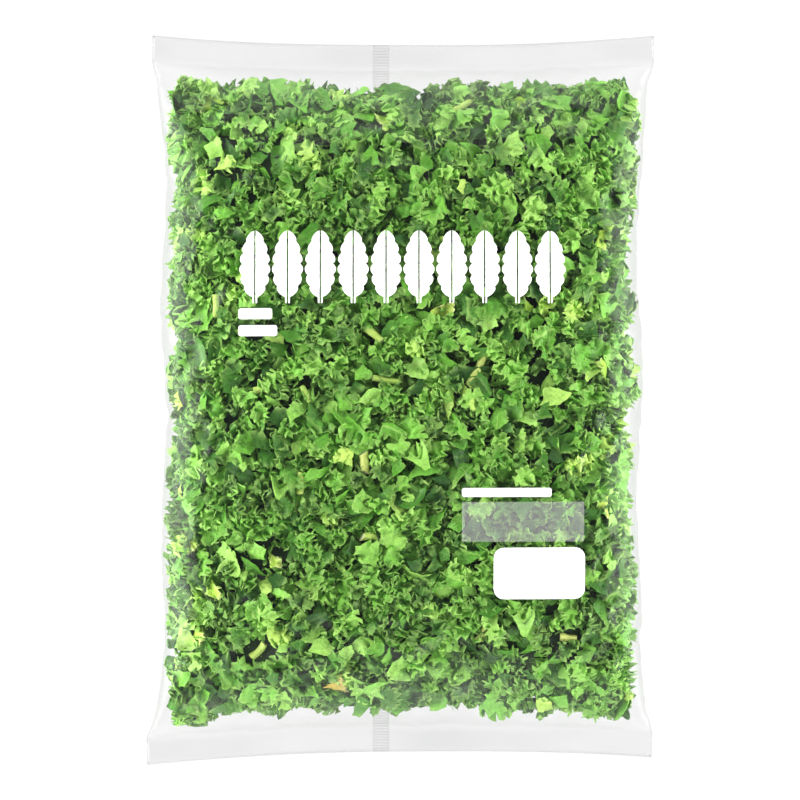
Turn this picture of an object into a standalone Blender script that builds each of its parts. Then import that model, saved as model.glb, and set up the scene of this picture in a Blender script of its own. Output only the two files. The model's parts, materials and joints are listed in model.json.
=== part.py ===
"""A clear film pillow bag filled with cut curly kale, lying on its back on a table.

Metres, +Z up. +X runs across the bag, +Y towards its top end seal, and the printed front faces +Z.
The origin is under the middle of the bag, on the surface that it lies on.

A place along the bag is a station: -1 at the inner edge of the bottom seal, 0 in the middle and 1 at the
inner edge of the top seal. A place round it is a share of the girth, from the right side over the front.
"""

import math
import random

import bmesh
import bpy
from mathutils import Vector

MM = 0.001

# The bag: one web of film, lapped along the back and sealed flat across both ends
THICKNESS = 58 * MM
WAIST_RIGHT = 118.3 * MM
WAIST_LEFT = 117.3 * MM
TOP_CORNER_RIGHT = (126.9 * MM, 182.2 * MM)
TOP_CORNER_LEFT = (124.2 * MM, 182.5 * MM)
BOTTOM_CORNER_RIGHT = (125.8 * MM, 179.0 * MM)
BOTTOM_CORNER_LEFT = (126.9 * MM, 182.5 * MM)
END_BOW = 4.8 * MM
BOW_POWER = 2.3
SIDE_WAVE = 1.4 * MM
SIDE_WAVE_LENGTH = 118 * MM
SIDE_WAVE_FADE = 4
FLARE_POWER = 6.5

SEAL_WIDTH = 13.5 * MM
SEAL_HEIGHT = 15 * MM
SEAL_DROOP = 4 * MM
SEAL_WAVE = 1.2 * MM
SEAL_WAVE_LENGTH = 23 * MM
SEAL_PLAY = 0.12 * MM
SEAL_OVERLAP = 4 * MM
SEAL_COLUMNS = 20
SEAL_ROWS = 2

# The cross-section: two superellipses, the front deeper than the back, which close towards the seals
FULLNESS_POWER = 0.6
FRONT_CLOSING_POWER = 3
BACK_CLOSING_POWER = 5
BACK_FULLNESS = 1.08
EDGE_HEIGHT_SHARE = 0.41
FRONT_ROUNDNESS = 2.7
BACK_ROUNDNESS = 3.6
SIDE_INSET = 1.2

FILM = 0.4 * MM
LAP_GAP = 0.35 * MM
LAP_WIDTH = 8.3 * MM
LAP_CENTRE = -9.75 * MM
LAP_STEP = 3 * MM
LAP_SHOULDER = 0.9 * MM
LAP_ROOM_START = 0.6
LAP_ROOM_RUN = 0.3
FLAT_CAVITY = 0.3 * MM

# The filling: a pressed heap of cut leaf, with pale stem and leaf pieces lying in it
CORE_DEPTH = 7 * MM
CORE_REACH = 0.9
CORE_RINGS = 15
CORE_SIDES = 26
LEAST_DEPTH = 1.5 * MM
ROOT_GAP = 0.5 * MM
END_CLEARANCE = 1.2 * MM
END_CLEARANCE_START = 0.75
END_CLEARANCE_RUN = 0.2

BLADE = 0.9 * MM
BLADE_RADIUS = (10 * MM, 14.5 * MM)
LEAST_BLADE_RADIUS = 6 * MM
BLADE_ROOT_DEPTH = 9.5 * MM
BLADE_CROWN = 1.2 * MM
BLADE_CORNERS = 6
CORNER_JITTER = 0.28
LONG_CORNER = (0.88, 1)
SHORT_CORNER = (0.55, 0.85)
BLADE_ROW = 25 * MM
BLADE_REACH = 0.955
SHARE_JITTER = 0.16
STATION_JITTER = 0.2

PALE_LEAVES = 20
PALE_RADIUS = (6 * MM, 8.5 * MM)
STEMS = 18
STEM_RADIUS = (1.8 * MM, 2.4 * MM)
STEM_HALF_LENGTH = (4 * MM, 8 * MM)
STEM_TAPERS = ((-1, 1), (0, 0.94), (1, 0.84))
STEM_SLANT = 0.3
STEM_SIDES = 8
LOOSE_SPACING = 27 * MM
NEIGHBOUR_GAP = 0.8 * MM
SEED = 13

# Pale leaf pieces that show on the front: x, y and radius, in mm
FRONT_PALE_LEAVES = (
    (102, 16.5, 6),
    (61, 46, 6),
    (20, 44, 7.5),
    (-62.7, -78, 6),
    (-92.5, -93, 7.5),
    (-32, -141, 7.5),
    (-94, 146, 8.5),
    (-7, 138, 7),
    (102, 80, 8),
    (-104, -71, 6),
    (-101, -115, 6),
)

# Stem pieces that show on the front: x, y, radius and half length in mm, and the turn of the length from +X
FRONT_STEMS = (
    (-17.8, -30.5, 2.5, 4.2, 100),
    (-49, -40.5, 2.4, 4.4, 90),
    (-13, 32, 2.0, 4.5, -40),
    (37, 14, 2.0, 8.0, 62),
    (-91.5, 46, 2.0, 4.6, 90),
    (-15, -67, 2.1, 3.4, 0),
    (-7, 10, 1.8, 6.2, -8),
    (-70.5, -123, 2.0, 4.0, 45),
    (83, -117, 2.0, 3.6, -5),
    (40, -114.5, 2.1, 3.4, 60),
    (-46.5, 3, 1.8, 3.6, -60),
    (-69, 5, 2.0, 3.2, 15),
)

CLEAR_FILM = (0.93, 0.94, 0.95)
CLEAR_FILM_ALPHA = 0.25
KALE_GREEN = (0.13, 0.36, 0.06)
PALE_GREEN = (0.42, 0.6, 0.12)
STEM_GREEN = (0.62, 0.7, 0.3)

TOP_SEGMENTS = 24
SIDE_SEGMENTS = 8
STATIONS = 17
SECTION_SAMPLES = 96
SECTION_SPREAD = 0.74
SEARCH_STEPS = 30
FILM_SMOOTH_ANGLE = math.radians(35)
STEM_SMOOTH_ANGLE = math.radians(50)


def clear_scene():
    """Empties the scene that the script starts in."""
    for obj in list(bpy.data.objects):
        bpy.data.objects.remove(obj, do_unlink=True)


def make_material(name, colour, roughness, alpha=1.0):
    """A plain material of one colour."""
    material = bpy.data.materials.new(name)
    material.use_nodes = True
    shader = material.node_tree.nodes["Principled BSDF"]
    shader.inputs["Base Color"].default_value = (*colour, 1)
    shader.inputs["Roughness"].default_value = roughness
    shader.inputs["Metallic"].default_value = 0
    shader.inputs["Alpha"].default_value = alpha
    return material


def mesh_object(name, points, faces, material, smooth_angle=None):
    """An object from points and faces, with its faces turned outwards."""
    mesh = bpy.data.meshes.new(name)
    mesh.from_pydata([tuple(p) for p in points], [], faces)
    mesh.materials.append(material)
    bm = bmesh.new()
    bm.from_mesh(mesh)
    bmesh.ops.recalc_face_normals(bm, faces=bm.faces)
    bm.to_mesh(mesh)
    bm.free()
    if smooth_angle is not None:
        mesh.shade_smooth()
        mesh.set_sharp_from_angle(angle=smooth_angle)
    obj = bpy.data.objects.new(name, mesh)
    bpy.context.scene.collection.objects.link(obj)
    return obj


def smooth(t):
    """Eases from 0 to 1 as t goes from 0 to 1, and stays level outside that."""
    t = min(max(t, 0), 1)
    return t * t * (3 - 2 * t)


def end_corners(s):
    """The left and right corners of the end seal that station s lies towards."""
    if s >= 0:
        return TOP_CORNER_LEFT, TOP_CORNER_RIGHT
    return BOTTOM_CORNER_LEFT, BOTTOM_CORNER_RIGHT


def end_reach(x, s):
    """How far from the middle the outer edge of the end seal lies at x, drawn in where the bag bulges."""
    left, right = end_corners(s)
    across = (x + left[0]) / (left[0] + right[0])
    edge = left[1] + (right[1] - left[1]) * across
    off_centre = min(abs(2 * across - 1), 1)
    return edge - END_BOW * (1 - off_centre**BOW_POWER)


def half_width(s, side):
    """The half width at station s, which flares at the seals. side is -1 or 1."""
    left, right = end_corners(s)
    corner = right[0] if side > 0 else left[0]
    waist = WAIST_RIGHT if side > 0 else WAIST_LEFT
    y = s * (TOP_CORNER_LEFT[1] - SEAL_WIDTH)
    wave = SIDE_WAVE * math.sin(math.tau * y / SIDE_WAVE_LENGTH + side) * (1 - abs(s) ** SIDE_WAVE_FADE)
    return waist + (corner - waist) * abs(s) ** FLARE_POWER + wave


def seal_height(x, s, out=0.0):
    """The height of the flat end seal's middle plane, out metres beyond the seal's inner edge."""
    wave = SEAL_WAVE * math.sin(x / SEAL_WAVE_LENGTH + 2 * (s > 0)) * smooth(out / SEAL_WIDTH)
    return SEAL_HEIGHT - SEAL_DROOP * out / SEAL_WIDTH + wave


def heights(s):
    """The lowest, edge and highest heights of the film's outer surface at station s."""
    s = abs(s)
    front_fullness = (1 - s**FRONT_CLOSING_POWER) ** FULLNESS_POWER
    back_fullness = BACK_FULLNESS * (1 - s**BACK_CLOSING_POWER) ** FULLNESS_POWER
    top = SEAL_HEIGHT + (THICKNESS - SEAL_HEIGHT) * front_fullness + FILM + FLAT_CAVITY / 2
    base = SEAL_HEIGHT * (1 - back_fullness)
    base -= (2 * FILM + LAP_GAP + FLAT_CAVITY / 2) * smooth((s - LAP_ROOM_START) / LAP_ROOM_RUN)
    edge = SEAL_HEIGHT + (EDGE_HEIGHT_SHARE * THICKNESS - SEAL_HEIGHT) * front_fullness
    return base, edge, top


def side_share(x, s, inset):
    """How far out x lies at station s: 0 in the middle and 1 at the side, inset metres inside the film."""
    half = half_width(s, math.copysign(1, x)) - SIDE_INSET * inset
    return min(abs(x) / half, 1)


def front_height(x, s, inset):
    """The height of the front at x and station s, inset metres inside the outer surface."""
    base, edge, top = heights(s)
    share = side_share(x, s, inset)
    return edge + (top - edge - inset) * (1 - share**FRONT_ROUNDNESS) ** (1 / FRONT_ROUNDNESS)


def back_height(x, s, inset):
    """The height of the back, which lies flat on the table over most of its width."""
    base, edge, top = heights(s)
    share = side_share(x, s, inset)
    curved = edge - (edge - base - inset) * (1 - share**BACK_ROUNDNESS) ** (1 / BACK_ROUNDNESS)
    return max(curved, inset)


def lap_lift(x):
    """How much the inner edge of the web is raised to pass over the outer one."""
    start = LAP_CENTRE - LAP_WIDTH / 2 - LAP_STEP
    return (FILM + LAP_GAP) * smooth((x - start) / (LAP_STEP - LAP_SHOULDER))


def web_path(s, inset):
    """The open section of the web at station s, as x and z.

    It starts at the outer free edge, runs along the back, round the right side, over the front and back
    under, and ends at the inner free edge.
    """
    right = half_width(s, 1) - SIDE_INSET * inset
    left = half_width(s, -1) - SIDE_INSET * inset
    free_edge = LAP_CENTRE - LAP_WIDTH / 2
    path = []
    for i in range(SIDE_SEGMENTS):
        x = free_edge + (right - free_edge) * math.sin(math.pi / 2 * i / SIDE_SEGMENTS)
        path.append((x, back_height(x, s, inset)))
    for i in range(TOP_SEGMENTS + 1):
        turn = math.cos(math.pi * i / TOP_SEGMENTS)
        x = turn * (right if turn > 0 else left)
        path.append((x, front_height(x, s, inset)))
    step_start = free_edge - LAP_STEP
    for i in range(1, SIDE_SEGMENTS):
        x = step_start + (-left - step_start) * math.sin(math.pi / 2 * (1 - i / SIDE_SEGMENTS))
        path.append((x, back_height(x, s, inset)))
    for x in (step_start, free_edge - LAP_SHOULDER, LAP_CENTRE, LAP_CENTRE + LAP_WIDTH / 2):
        path.append((x, back_height(x, s, inset) + lap_lift(x)))
    return path


def station_list():
    """Stations from seal to seal, closer together towards the ends, and one more inside each seal.

    Each comes with its distance in metres beyond the seal's inner edge.
    """
    inner = [math.sin(math.pi / 2 * (2 * i / (STATIONS - 1) - 1)) for i in range(STATIONS)]
    return [(-1, SEAL_OVERLAP), *[(s, 0) for s in inner], (1, SEAL_OVERLAP)]


def build_web(film):
    """The tube of film, its section a thick C whose two edges lap along the back."""
    points = []
    stations = station_list()
    for s, out in stations:
        for inset in (0, FILM):
            for x, z in web_path(s, inset):
                y = s * (end_reach(x, s) - SEAL_WIDTH) + math.copysign(out, s)
                points.append((x, y, z + seal_height(x, s, out) - SEAL_HEIGHT))
    count = len(web_path(0, 0))
    ring = [*range(count), *range(2 * count - 1, count - 1, -1)]
    faces = []
    for k in range(len(stations) - 1):
        here, there = 2 * count * k, 2 * count * (k + 1)
        for a, b in zip(ring, ring[1:] + ring[:1]):
            faces.append((here + a, here + b, there + b, there + a))
    for k in (0, len(stations) - 1):
        start = 2 * count * k
        for i in range(count - 1):
            faces.append((start + i, start + i + 1, start + count + i + 1, start + count + i))
    return mesh_object("bag_film", points, faces, film, FILM_SMOOTH_ANGLE)


def build_seal(end, film):
    """One flat end seal: all the layers of film pressed into one strip, with its slight wave and droop."""
    above = FILM + FLAT_CAVITY / 2 + SEAL_PLAY
    below = 2 * FILM + LAP_GAP + FLAT_CAVITY / 2 + SEAL_PLAY
    left, right = end_corners(end)
    points = []
    for row in range(SEAL_ROWS + 1):
        out = SEAL_WIDTH * row / SEAL_ROWS
        for column in range(SEAL_COLUMNS + 1):
            x = -left[0] + (left[0] + right[0]) * column / SEAL_COLUMNS
            y = end * (end_reach(x, end) - SEAL_WIDTH + out)
            z = seal_height(x, end, out)
            points += [(x, y, z - below), (x, y, z + above)]
    wide = 2 * (SEAL_COLUMNS + 1)
    faces = []
    for row in range(SEAL_ROWS):
        for column in range(SEAL_COLUMNS):
            a = wide * row + 2 * column
            faces.append((a, a + 2, a + wide + 2, a + wide))
            faces.append((a + 1, a + wide + 1, a + wide + 3, a + 3))
        for a in (wide * row, wide * row + 2 * SEAL_COLUMNS):
            faces.append((a, a + wide, a + wide + 1, a + 1))
    for column in range(SEAL_COLUMNS):
        for a in (2 * column, wide * SEAL_ROWS + 2 * column):
            faces.append((a, a + 1, a + 3, a + 2))
    return mesh_object("seal", points, faces, film)


def unite(obj, others):
    """Joins the others into obj with one Boolean union, and removes them."""
    tools = bpy.data.collections.new("tools")
    bpy.context.scene.collection.children.link(tools)
    for other in others:
        bpy.context.scene.collection.objects.unlink(other)
        tools.objects.link(other)
    union = obj.modifiers.new("union", "BOOLEAN")
    union.operation = "UNION"
    union.operand_type = "COLLECTION"
    union.collection = tools
    union.solver = "MANIFOLD"
    bpy.context.view_layer.objects.active = obj
    bpy.ops.object.modifier_apply(modifier=union.name)
    for other in others:
        bpy.data.objects.remove(other, do_unlink=True)
    bpy.data.collections.remove(tools)


def keep_outer_shell(obj):
    """Fills the small hollows that a union seals in, and drops scraps: only the widest shell stays."""
    bm = bmesh.new()
    bm.from_mesh(obj.data)
    shells = []
    unseen = set(bm.faces)
    while unseen:
        shell = set()
        edge_of_shell = [unseen.pop()]
        while edge_of_shell:
            face = edge_of_shell.pop()
            shell.add(face)
            near = {other for edge in face.edges for other in edge.link_faces} & unseen
            unseen -= near
            edge_of_shell += near
        shells.append(shell)
    shells.sort(key=len)
    scraps = [face for shell in shells[:-1] for face in shell]
    bmesh.ops.delete(bm, geom=scraps, context="FACES")
    bm.to_mesh(obj.data)
    bm.free()


class Skin:
    """The inside of the film as a surface to lay pieces on, by share of the girth, station and depth."""

    def __init__(self):
        self.sections = {}
        self.length = self.section(0)[1][-1]

    def section(self, s):
        """The closed inner section at station s, with its running length."""
        key = round(s, 4)
        if key not in self.sections:
            points = []
            for i in range(SECTION_SAMPLES):
                turn = math.tau * i / SECTION_SAMPLES
                side = math.copysign(1, math.cos(turn))
                half = half_width(key, side) - SIDE_INSET * FILM
                x = side * abs(math.cos(turn)) ** SECTION_SPREAD * half
                height = front_height if math.sin(turn) >= 0 else back_height
                points.append(Vector((x, 0, height(x, key, FILM))))
            running = [0]
            for a, b in zip(points, points[1:] + points[:1]):
                running.append(running[-1] + (b - a).length)
            self.sections[key] = points, running
        return self.sections[key]

    def place(self, share, s, depth):
        """The point at this share and station, this deep under the film.

        The skin slopes steeply towards the seals, so the depth is a little more there.
        """
        points, running = self.section(s)
        target = (share % 1) * running[-1]
        k = min(sum(r <= target for r in running), SECTION_SAMPLES) - 1
        a, b = points[k], points[(k + 1) % SECTION_SAMPLES]
        where = a.lerp(b, (target - running[k]) / (running[k + 1] - running[k]))
        along_here = b - points[k - 1]
        along_next = points[(k + 2) % SECTION_SAMPLES] - a
        along = along_here.normalized().lerp(along_next.normalized(), 0.5)
        outward = Vector((along.z, 0, -along.x)).normalized()
        more = END_CLEARANCE * smooth((abs(s) - END_CLEARANCE_START) / END_CLEARANCE_RUN)
        where = where - outward * (depth + more)
        where.y = s * (end_reach(where.x, s) - SEAL_WIDTH)
        return where

    def spot_at(self, x, y):
        """The share and the station of the place on the front over x and y."""
        s = y / (end_reach(x, y) - SEAL_WIDTH)
        low, high = 0, 0.5
        for _ in range(SEARCH_STEPS):
            share = (low + high) / 2
            if self.place(share, s, 0).x > x:
                low = share
            else:
                high = share
        return low, s


def build_core(skin, leaf):
    """The middle of the heap, which the cut pieces stand out of."""
    points = []
    for r in range(CORE_RINGS):
        s = CORE_REACH * math.sin(math.pi / 2 * (2 * r / (CORE_RINGS - 1) - 1))
        for i in range(CORE_SIDES):
            points.append(skin.place(i / CORE_SIDES, s, CORE_DEPTH))
    faces = []
    for r in range(CORE_RINGS - 1):
        for i in range(CORE_SIDES):
            a, b = r * CORE_SIDES + i, r * CORE_SIDES + (i + 1) % CORE_SIDES
            faces.append((a, b, b + CORE_SIDES, a + CORE_SIDES))
    for r in (0, CORE_RINGS - 1):
        ring = points[r * CORE_SIDES : (r + 1) * CORE_SIDES]
        points.append(sum(ring, Vector()) / CORE_SIDES)
        hub = len(points) - 1
        for i in range(CORE_SIDES):
            faces.append((r * CORE_SIDES + i, r * CORE_SIDES + (i + 1) % CORE_SIDES, hub))
    return mesh_object("cut_leaf_heap", points, faces, leaf)


def blade_outline(rng, radius):
    """An angular cut outline, as flat offsets from its middle, some corners long and some cut short."""
    turn = rng.uniform(0, math.tau)
    outline = []
    for i in range(BLADE_CORNERS):
        angle = turn + math.tau * (i + rng.uniform(-CORNER_JITTER, CORNER_JITTER)) / BLADE_CORNERS
        reach = radius * rng.uniform(*(LONG_CORNER if i % 2 else SHORT_CORNER))
        outline.append((reach * math.cos(angle), reach * math.sin(angle)))
    return outline


def build_blade(name, skin, spot, radius, depths, rng, material):
    """One cut piece of leaf, bent down its middle. The depths are those of its tip and of its root."""
    share, s = spot
    tip_depth, root_depth = depths
    length = end_reach(0, s) - SEAL_WIDTH
    tilt = rng.uniform(0, math.tau)
    outline = [(0, 0), *blade_outline(rng, radius)]
    points = []
    for layer in (0, BLADE):
        for p, q in outline:
            towards_root = (p * math.cos(tilt) + q * math.sin(tilt)) / radius
            across = (q * math.cos(tilt) - p * math.sin(tilt)) / radius
            depth = tip_depth + (root_depth - tip_depth) * (0.5 + 0.5 * towards_root)
            depth += BLADE_CROWN * (across**2 - 0.4)
            depth = min(max(depth, tip_depth), root_depth)
            points.append(skin.place(share + p / skin.length, s + q / length, depth + layer))
    count = BLADE_CORNERS + 1
    faces = []
    for i in range(1, count):
        j = i % BLADE_CORNERS + 1
        faces += [(0, i, j), (count, count + j, count + i)]
        faces += [(i, count + i, j), (j, count + i, count + j)]
    return mesh_object(name, points, faces, material)


def build_stem(name, skin, spot, shape, material):
    """A cut chunk of stem lying in the heap, slightly tapered along its length, with slanting ends.

    The shape is its radius, its half length, and its turn from straight across the bag.
    """
    share, s = spot
    radius, half_length, turn = shape
    length = end_reach(0, s) - SEAL_WIDTH
    middle_depth = CORE_DEPTH - ROOT_GAP - radius
    points = []
    for end, taper in STEM_TAPERS:
        for i in range(STEM_SIDES):
            angle = math.tau * i / STEM_SIDES
            along = end * half_length + STEM_SLANT * radius * math.cos(angle) * end
            across = taper * radius * math.cos(angle)
            p = along * math.cos(turn) - across * math.sin(turn)
            q = along * math.sin(turn) + across * math.cos(turn)
            depth = middle_depth - taper * radius * math.sin(angle)
            points.append(skin.place(share - p / skin.length, s + q / length, depth))
    faces = [tuple(range(STEM_SIDES)), tuple(range(2 * STEM_SIDES, 3 * STEM_SIDES))]
    for ring in (0, STEM_SIDES):
        for i in range(STEM_SIDES):
            a, b = ring + i, ring + (i + 1) % STEM_SIDES
            faces.append((a, b, b + STEM_SIDES, a + STEM_SIDES))
    return mesh_object(name, points, faces, material, STEM_SMOOTH_ANGLE)


def spots_on(skin, rng):
    """Staggered rows of places over the whole heap, each moved a little, in a shuffled order."""
    end = end_reach(0, 1) - SEAL_WIDTH
    rows = round((2 * BLADE_REACH * end - 2 * BLADE_RADIUS[0]) / BLADE_ROW)
    columns = round(skin.length / BLADE_ROW)
    reach = BLADE_REACH - BLADE_RADIUS[0] / end
    spots = []
    for row in range(rows + 1):
        s = reach * (2 * row / rows - 1)
        for column in range(columns):
            moved = column + 0.5 * (row % 2) + rng.uniform(-SHARE_JITTER, SHARE_JITTER)
            spots.append((moved / columns, s + rng.uniform(-STATION_JITTER, STATION_JITTER) * reach / rows))
    rng.shuffle(spots)
    return spots


def distance(skin, one, other):
    """The distance between two spots, along the heap's surface."""
    round_bag = (one[0] - other[0] + 0.5) % 1 - 0.5
    length = end_reach(0, 1) - SEAL_WIDTH
    return math.hypot(round_bag * skin.length, (one[1] - other[1]) * length)


def more_spots(skin, spots, taken, count):
    """Spots that keep their distance from the taken ones and from each other, up to count of them."""
    chosen = []
    for spot in spots:
        if len(chosen) == count:
            break
        if all(distance(skin, spot, other) > LOOSE_SPACING for other in [*taken, *chosen]):
            chosen.append(spot)
    return chosen


def plan_loose_pieces(skin, spots, rng):
    """Where the pale leaves and the stems lie: first those that the front shows, then the hidden ones.

    Both lists hold a spot and its shape: a radius for a leaf, and a radius, half length and turn for a stem.
    """
    leaves = [(skin.spot_at(x * MM, y * MM), radius * MM) for x, y, radius in FRONT_PALE_LEAVES]
    stems = []
    for x, y, radius, half_length, turn in FRONT_STEMS:
        stems.append((skin.spot_at(x * MM, y * MM), (radius * MM, half_length * MM, math.radians(turn))))
    taken = [spot for spot, _ in leaves + stems]
    hidden_leaves = PALE_LEAVES - len(leaves)
    others = more_spots(skin, spots, taken, hidden_leaves + STEMS - len(stems))
    for spot in others[:hidden_leaves]:
        leaves.append((spot, rng.uniform(*PALE_RADIUS)))
    for spot in others[hidden_leaves:]:
        shape = (rng.uniform(*STEM_RADIUS), rng.uniform(*STEM_HALF_LENGTH), rng.uniform(0, math.pi))
        stems.append((spot, shape))
    return leaves, stems


def build_filling(skin):
    """The heap, fused from its core and cut pieces, and the pale pieces that lie free in its hollows."""
    rng = random.Random(SEED)
    leaf = make_material("kale_leaf", KALE_GREEN, 0.55)
    pale = make_material("pale_leaf", PALE_GREEN, 0.5)
    stem = make_material("stem", STEM_GREEN, 0.45)
    spots = spots_on(skin, rng)
    leaves, stems = plan_loose_pieces(skin, spots, rng)
    reach_of = {}
    for number, (spot, radius) in enumerate(leaves, 1):
        depths = (LEAST_DEPTH, CORE_DEPTH - BLADE - ROOT_GAP)
        build_blade(f"pale_leaf_{number:02d}", skin, spot, radius, depths, rng, pale)
        reach_of[spot] = radius
    for number, (spot, shape) in enumerate(stems, 1):
        build_stem(f"stem_piece_{number:02d}", skin, spot, shape, stem)
        reach_of[spot] = math.hypot(shape[0], shape[1] + STEM_SLANT * shape[0])
    blades = []
    for spot in spots:
        radius = rng.uniform(*BLADE_RADIUS)
        rooms = [distance(skin, spot, other) - reach - NEIGHBOUR_GAP for other, reach in reach_of.items()]
        radius = min(radius, *rooms)
        if radius > LEAST_BLADE_RADIUS:
            depths = (LEAST_DEPTH, BLADE_ROOT_DEPTH)
            blades.append(build_blade("blade", skin, spot, radius, depths, rng, leaf))
    heap = build_core(skin, leaf)
    unite(heap, blades)
    keep_outer_shell(heap)
    print(len(leaves), "pale leaves,", len(stems), "stems,", len(blades), "cut pieces in the heap")


def main():
    clear_scene()
    film = make_material("clear_film", CLEAR_FILM, 0.12, CLEAR_FILM_ALPHA)
    bag = build_web(film)
    unite(bag, [build_seal(1, film), build_seal(-1, film)])
    build_filling(Skin())


main()
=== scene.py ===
# %% [markdown]
# A clear film bag of cut curly kale, seen from straight above as it lies on its back.
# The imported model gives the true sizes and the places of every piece. This script dresses it: it makes
# the film with its folds and seals, some thousands of cut pieces of leaf pressed against the film from
# inside, the pale leaf and stem pieces among them, and the plain white printing on the front.

import json
import math
import random

import bmesh
import bpy
import numpy as np
from mathutils import Matrix, Vector, geometry, noise
from mathutils.bvhtree import BVHTree

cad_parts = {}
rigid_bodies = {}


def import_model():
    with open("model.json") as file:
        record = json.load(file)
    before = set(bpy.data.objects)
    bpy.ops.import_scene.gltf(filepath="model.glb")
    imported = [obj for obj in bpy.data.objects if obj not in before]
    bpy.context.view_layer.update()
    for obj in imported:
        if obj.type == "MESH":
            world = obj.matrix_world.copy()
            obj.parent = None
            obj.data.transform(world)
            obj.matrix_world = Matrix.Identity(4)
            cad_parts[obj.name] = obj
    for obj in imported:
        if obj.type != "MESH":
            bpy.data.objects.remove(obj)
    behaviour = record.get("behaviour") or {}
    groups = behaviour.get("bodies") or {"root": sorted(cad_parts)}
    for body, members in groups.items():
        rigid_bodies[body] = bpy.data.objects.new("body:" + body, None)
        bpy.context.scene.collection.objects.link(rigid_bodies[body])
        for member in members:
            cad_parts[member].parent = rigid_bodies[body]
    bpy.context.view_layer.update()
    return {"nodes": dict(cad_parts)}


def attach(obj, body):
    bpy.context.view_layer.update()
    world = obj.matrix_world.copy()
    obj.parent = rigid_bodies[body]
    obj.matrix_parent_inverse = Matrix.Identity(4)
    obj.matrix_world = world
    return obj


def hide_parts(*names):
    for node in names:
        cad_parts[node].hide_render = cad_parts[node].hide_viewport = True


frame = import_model()
print("nodes in the packed model:", len(frame["nodes"]))

MM = 0.001
SEED = 7


# %% [markdown]
# A few helpers serve every material and every node tree. Colours are written as the sRGB hex values that
# a paint program shows, and Blender wants them linear. A node is added with its settings and links in one
# call, so that a tree reads as a list of what feeds what. Some nodes have several inputs of one name, one
# for each type of data, so the two colours of a Mix node and the two limits of a random number are given
# by their places in the node's list of inputs.

# %% Colours and nodes
MIX_FIRST, MIX_SECOND = 6, 7
RANDOM_LEAST, RANDOM_MOST = 2, 3


def colour(hex_value):
    """Turns an sRGB hex value such as "6fae3f" into Blender's linear colour."""
    parts = [int(hex_value[i : i + 2], 16) / 255 for i in (0, 2, 4)]
    linear = [p / 12.92 if p <= 0.04045 else ((p + 0.055) / 1.055) ** 2.4 for p in parts]
    return (*linear, 1)


def add(tree, kind, inputs=None, **settings):
    """Adds a node. inputs maps a socket's name or number to a value or to what feeds it.

    That is another node's socket, or another node, whose first output in use is taken.
    """
    node = tree.nodes.new(kind)
    for name, value in settings.items():
        setattr(node, name, value)
    for socket, value in (inputs or {}).items():
        if isinstance(value, bpy.types.Node):
            value = next(output for output in value.outputs if output.enabled)
        if isinstance(value, bpy.types.NodeSocket):
            tree.links.new(value, node.inputs[socket])
        else:
            node.inputs[socket].default_value = value
    return node


def new_material(name):
    """A new material, and its empty tree."""
    material = bpy.data.materials.new(name)
    material.use_nodes = True
    material.node_tree.nodes.clear()
    return material, material.node_tree


def new_tree(title, inputs, output):
    """A new Geometry Nodes tree with named inputs and one output, and the sockets of its inputs."""
    tree = bpy.data.node_groups.new(title, "GeometryNodeTree")
    for name, kind in inputs:
        tree.interface.new_socket(name, in_out="INPUT", socket_type="NodeSocket" + kind)
    tree.interface.new_socket(output, in_out="OUTPUT", socket_type="NodeSocketGeometry")
    return tree, add(tree, "NodeGroupInput").outputs


def run_tree(obj, tree, values):
    """Puts a tree on obj, with each of its inputs set by the socket's own identifier."""
    modifier = obj.modifiers.new(tree.name, "NODES")
    modifier.node_group = tree
    for item in tree.interface.items_tree:
        if item.name in values:
            modifier[item.identifier] = values[item.name]


# %% [markdown]
# The film, the heap, the core, the seam and the stems are all grids of points, laid row by row, so one
# function lists the faces of a grid. Modifiers are only used to make a shape. The plain mesh that they
# give is then kept in their place, because that is what leaves this script.

# %% Meshes and finished pieces
def link(obj):
    bpy.context.scene.collection.objects.link(obj)
    return obj


def triangles(obj):
    return sum(len(p.vertices) - 2 for p in obj.data.polygons)


def new_object(name, points, faces, edges=(), smooth=True):
    """An object with a new mesh. It is in no scene until it is linked."""
    mesh = bpy.data.meshes.new(name)
    mesh.from_pydata([tuple(p) for p in points], list(edges), faces)
    if smooth:
        mesh.shade_smooth()
    return bpy.data.objects.new(name, mesh)


def keep_mesh(obj, name):
    """A plain object with the mesh that obj's modifiers make, in place of obj."""
    bpy.context.view_layer.update()
    evaluated = obj.evaluated_get(bpy.context.evaluated_depsgraph_get())
    mesh = bpy.data.meshes.new_from_object(evaluated)
    bpy.data.objects.remove(obj, do_unlink=True)
    return link(bpy.data.objects.new(name, mesh))


def give_wall(obj, name, thickness, offset=-1):
    """The same surface as a plain mesh with a wall, inwards from its faces, or outwards with offset 1."""
    wall = obj.modifiers.new("wall", "SOLIDIFY")
    wall.thickness = thickness
    wall.offset = offset
    return keep_mesh(obj, name)


def grid_faces(rows, columns, closed=False):
    """The faces of a grid of points. In a closed one, the last column joins the first."""
    faces = []
    for row in range(rows - 1):
        for column in range(columns if closed else columns - 1):
            a, b = row * columns + column, row * columns + (column + 1) % columns
            faces.append((a, b, b + columns, a + columns))
    return faces


def end_caps(rows, columns):
    """A face over the first row of a closed grid, and one over the last row."""
    last = (rows - 1) * columns
    return tuple(reversed(range(columns))), tuple(range(last, last + columns))


def store(obj, name, values, domain="POINT"):
    """Stores a number for every point or edge, by a name that a modifier or a material looks up."""
    layer = obj.data.attributes.new(name, "FLOAT", domain).data
    layer.foreach_set("value", values if isinstance(values, list) else [values] * len(layer))


def dress(obj, material, node):
    """Gives a finished piece its material and body, and lets it stand for its node."""
    obj.data.materials.clear()
    obj.data.materials.append(material)
    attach(obj, "root")
    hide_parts(node)
    return obj


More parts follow.
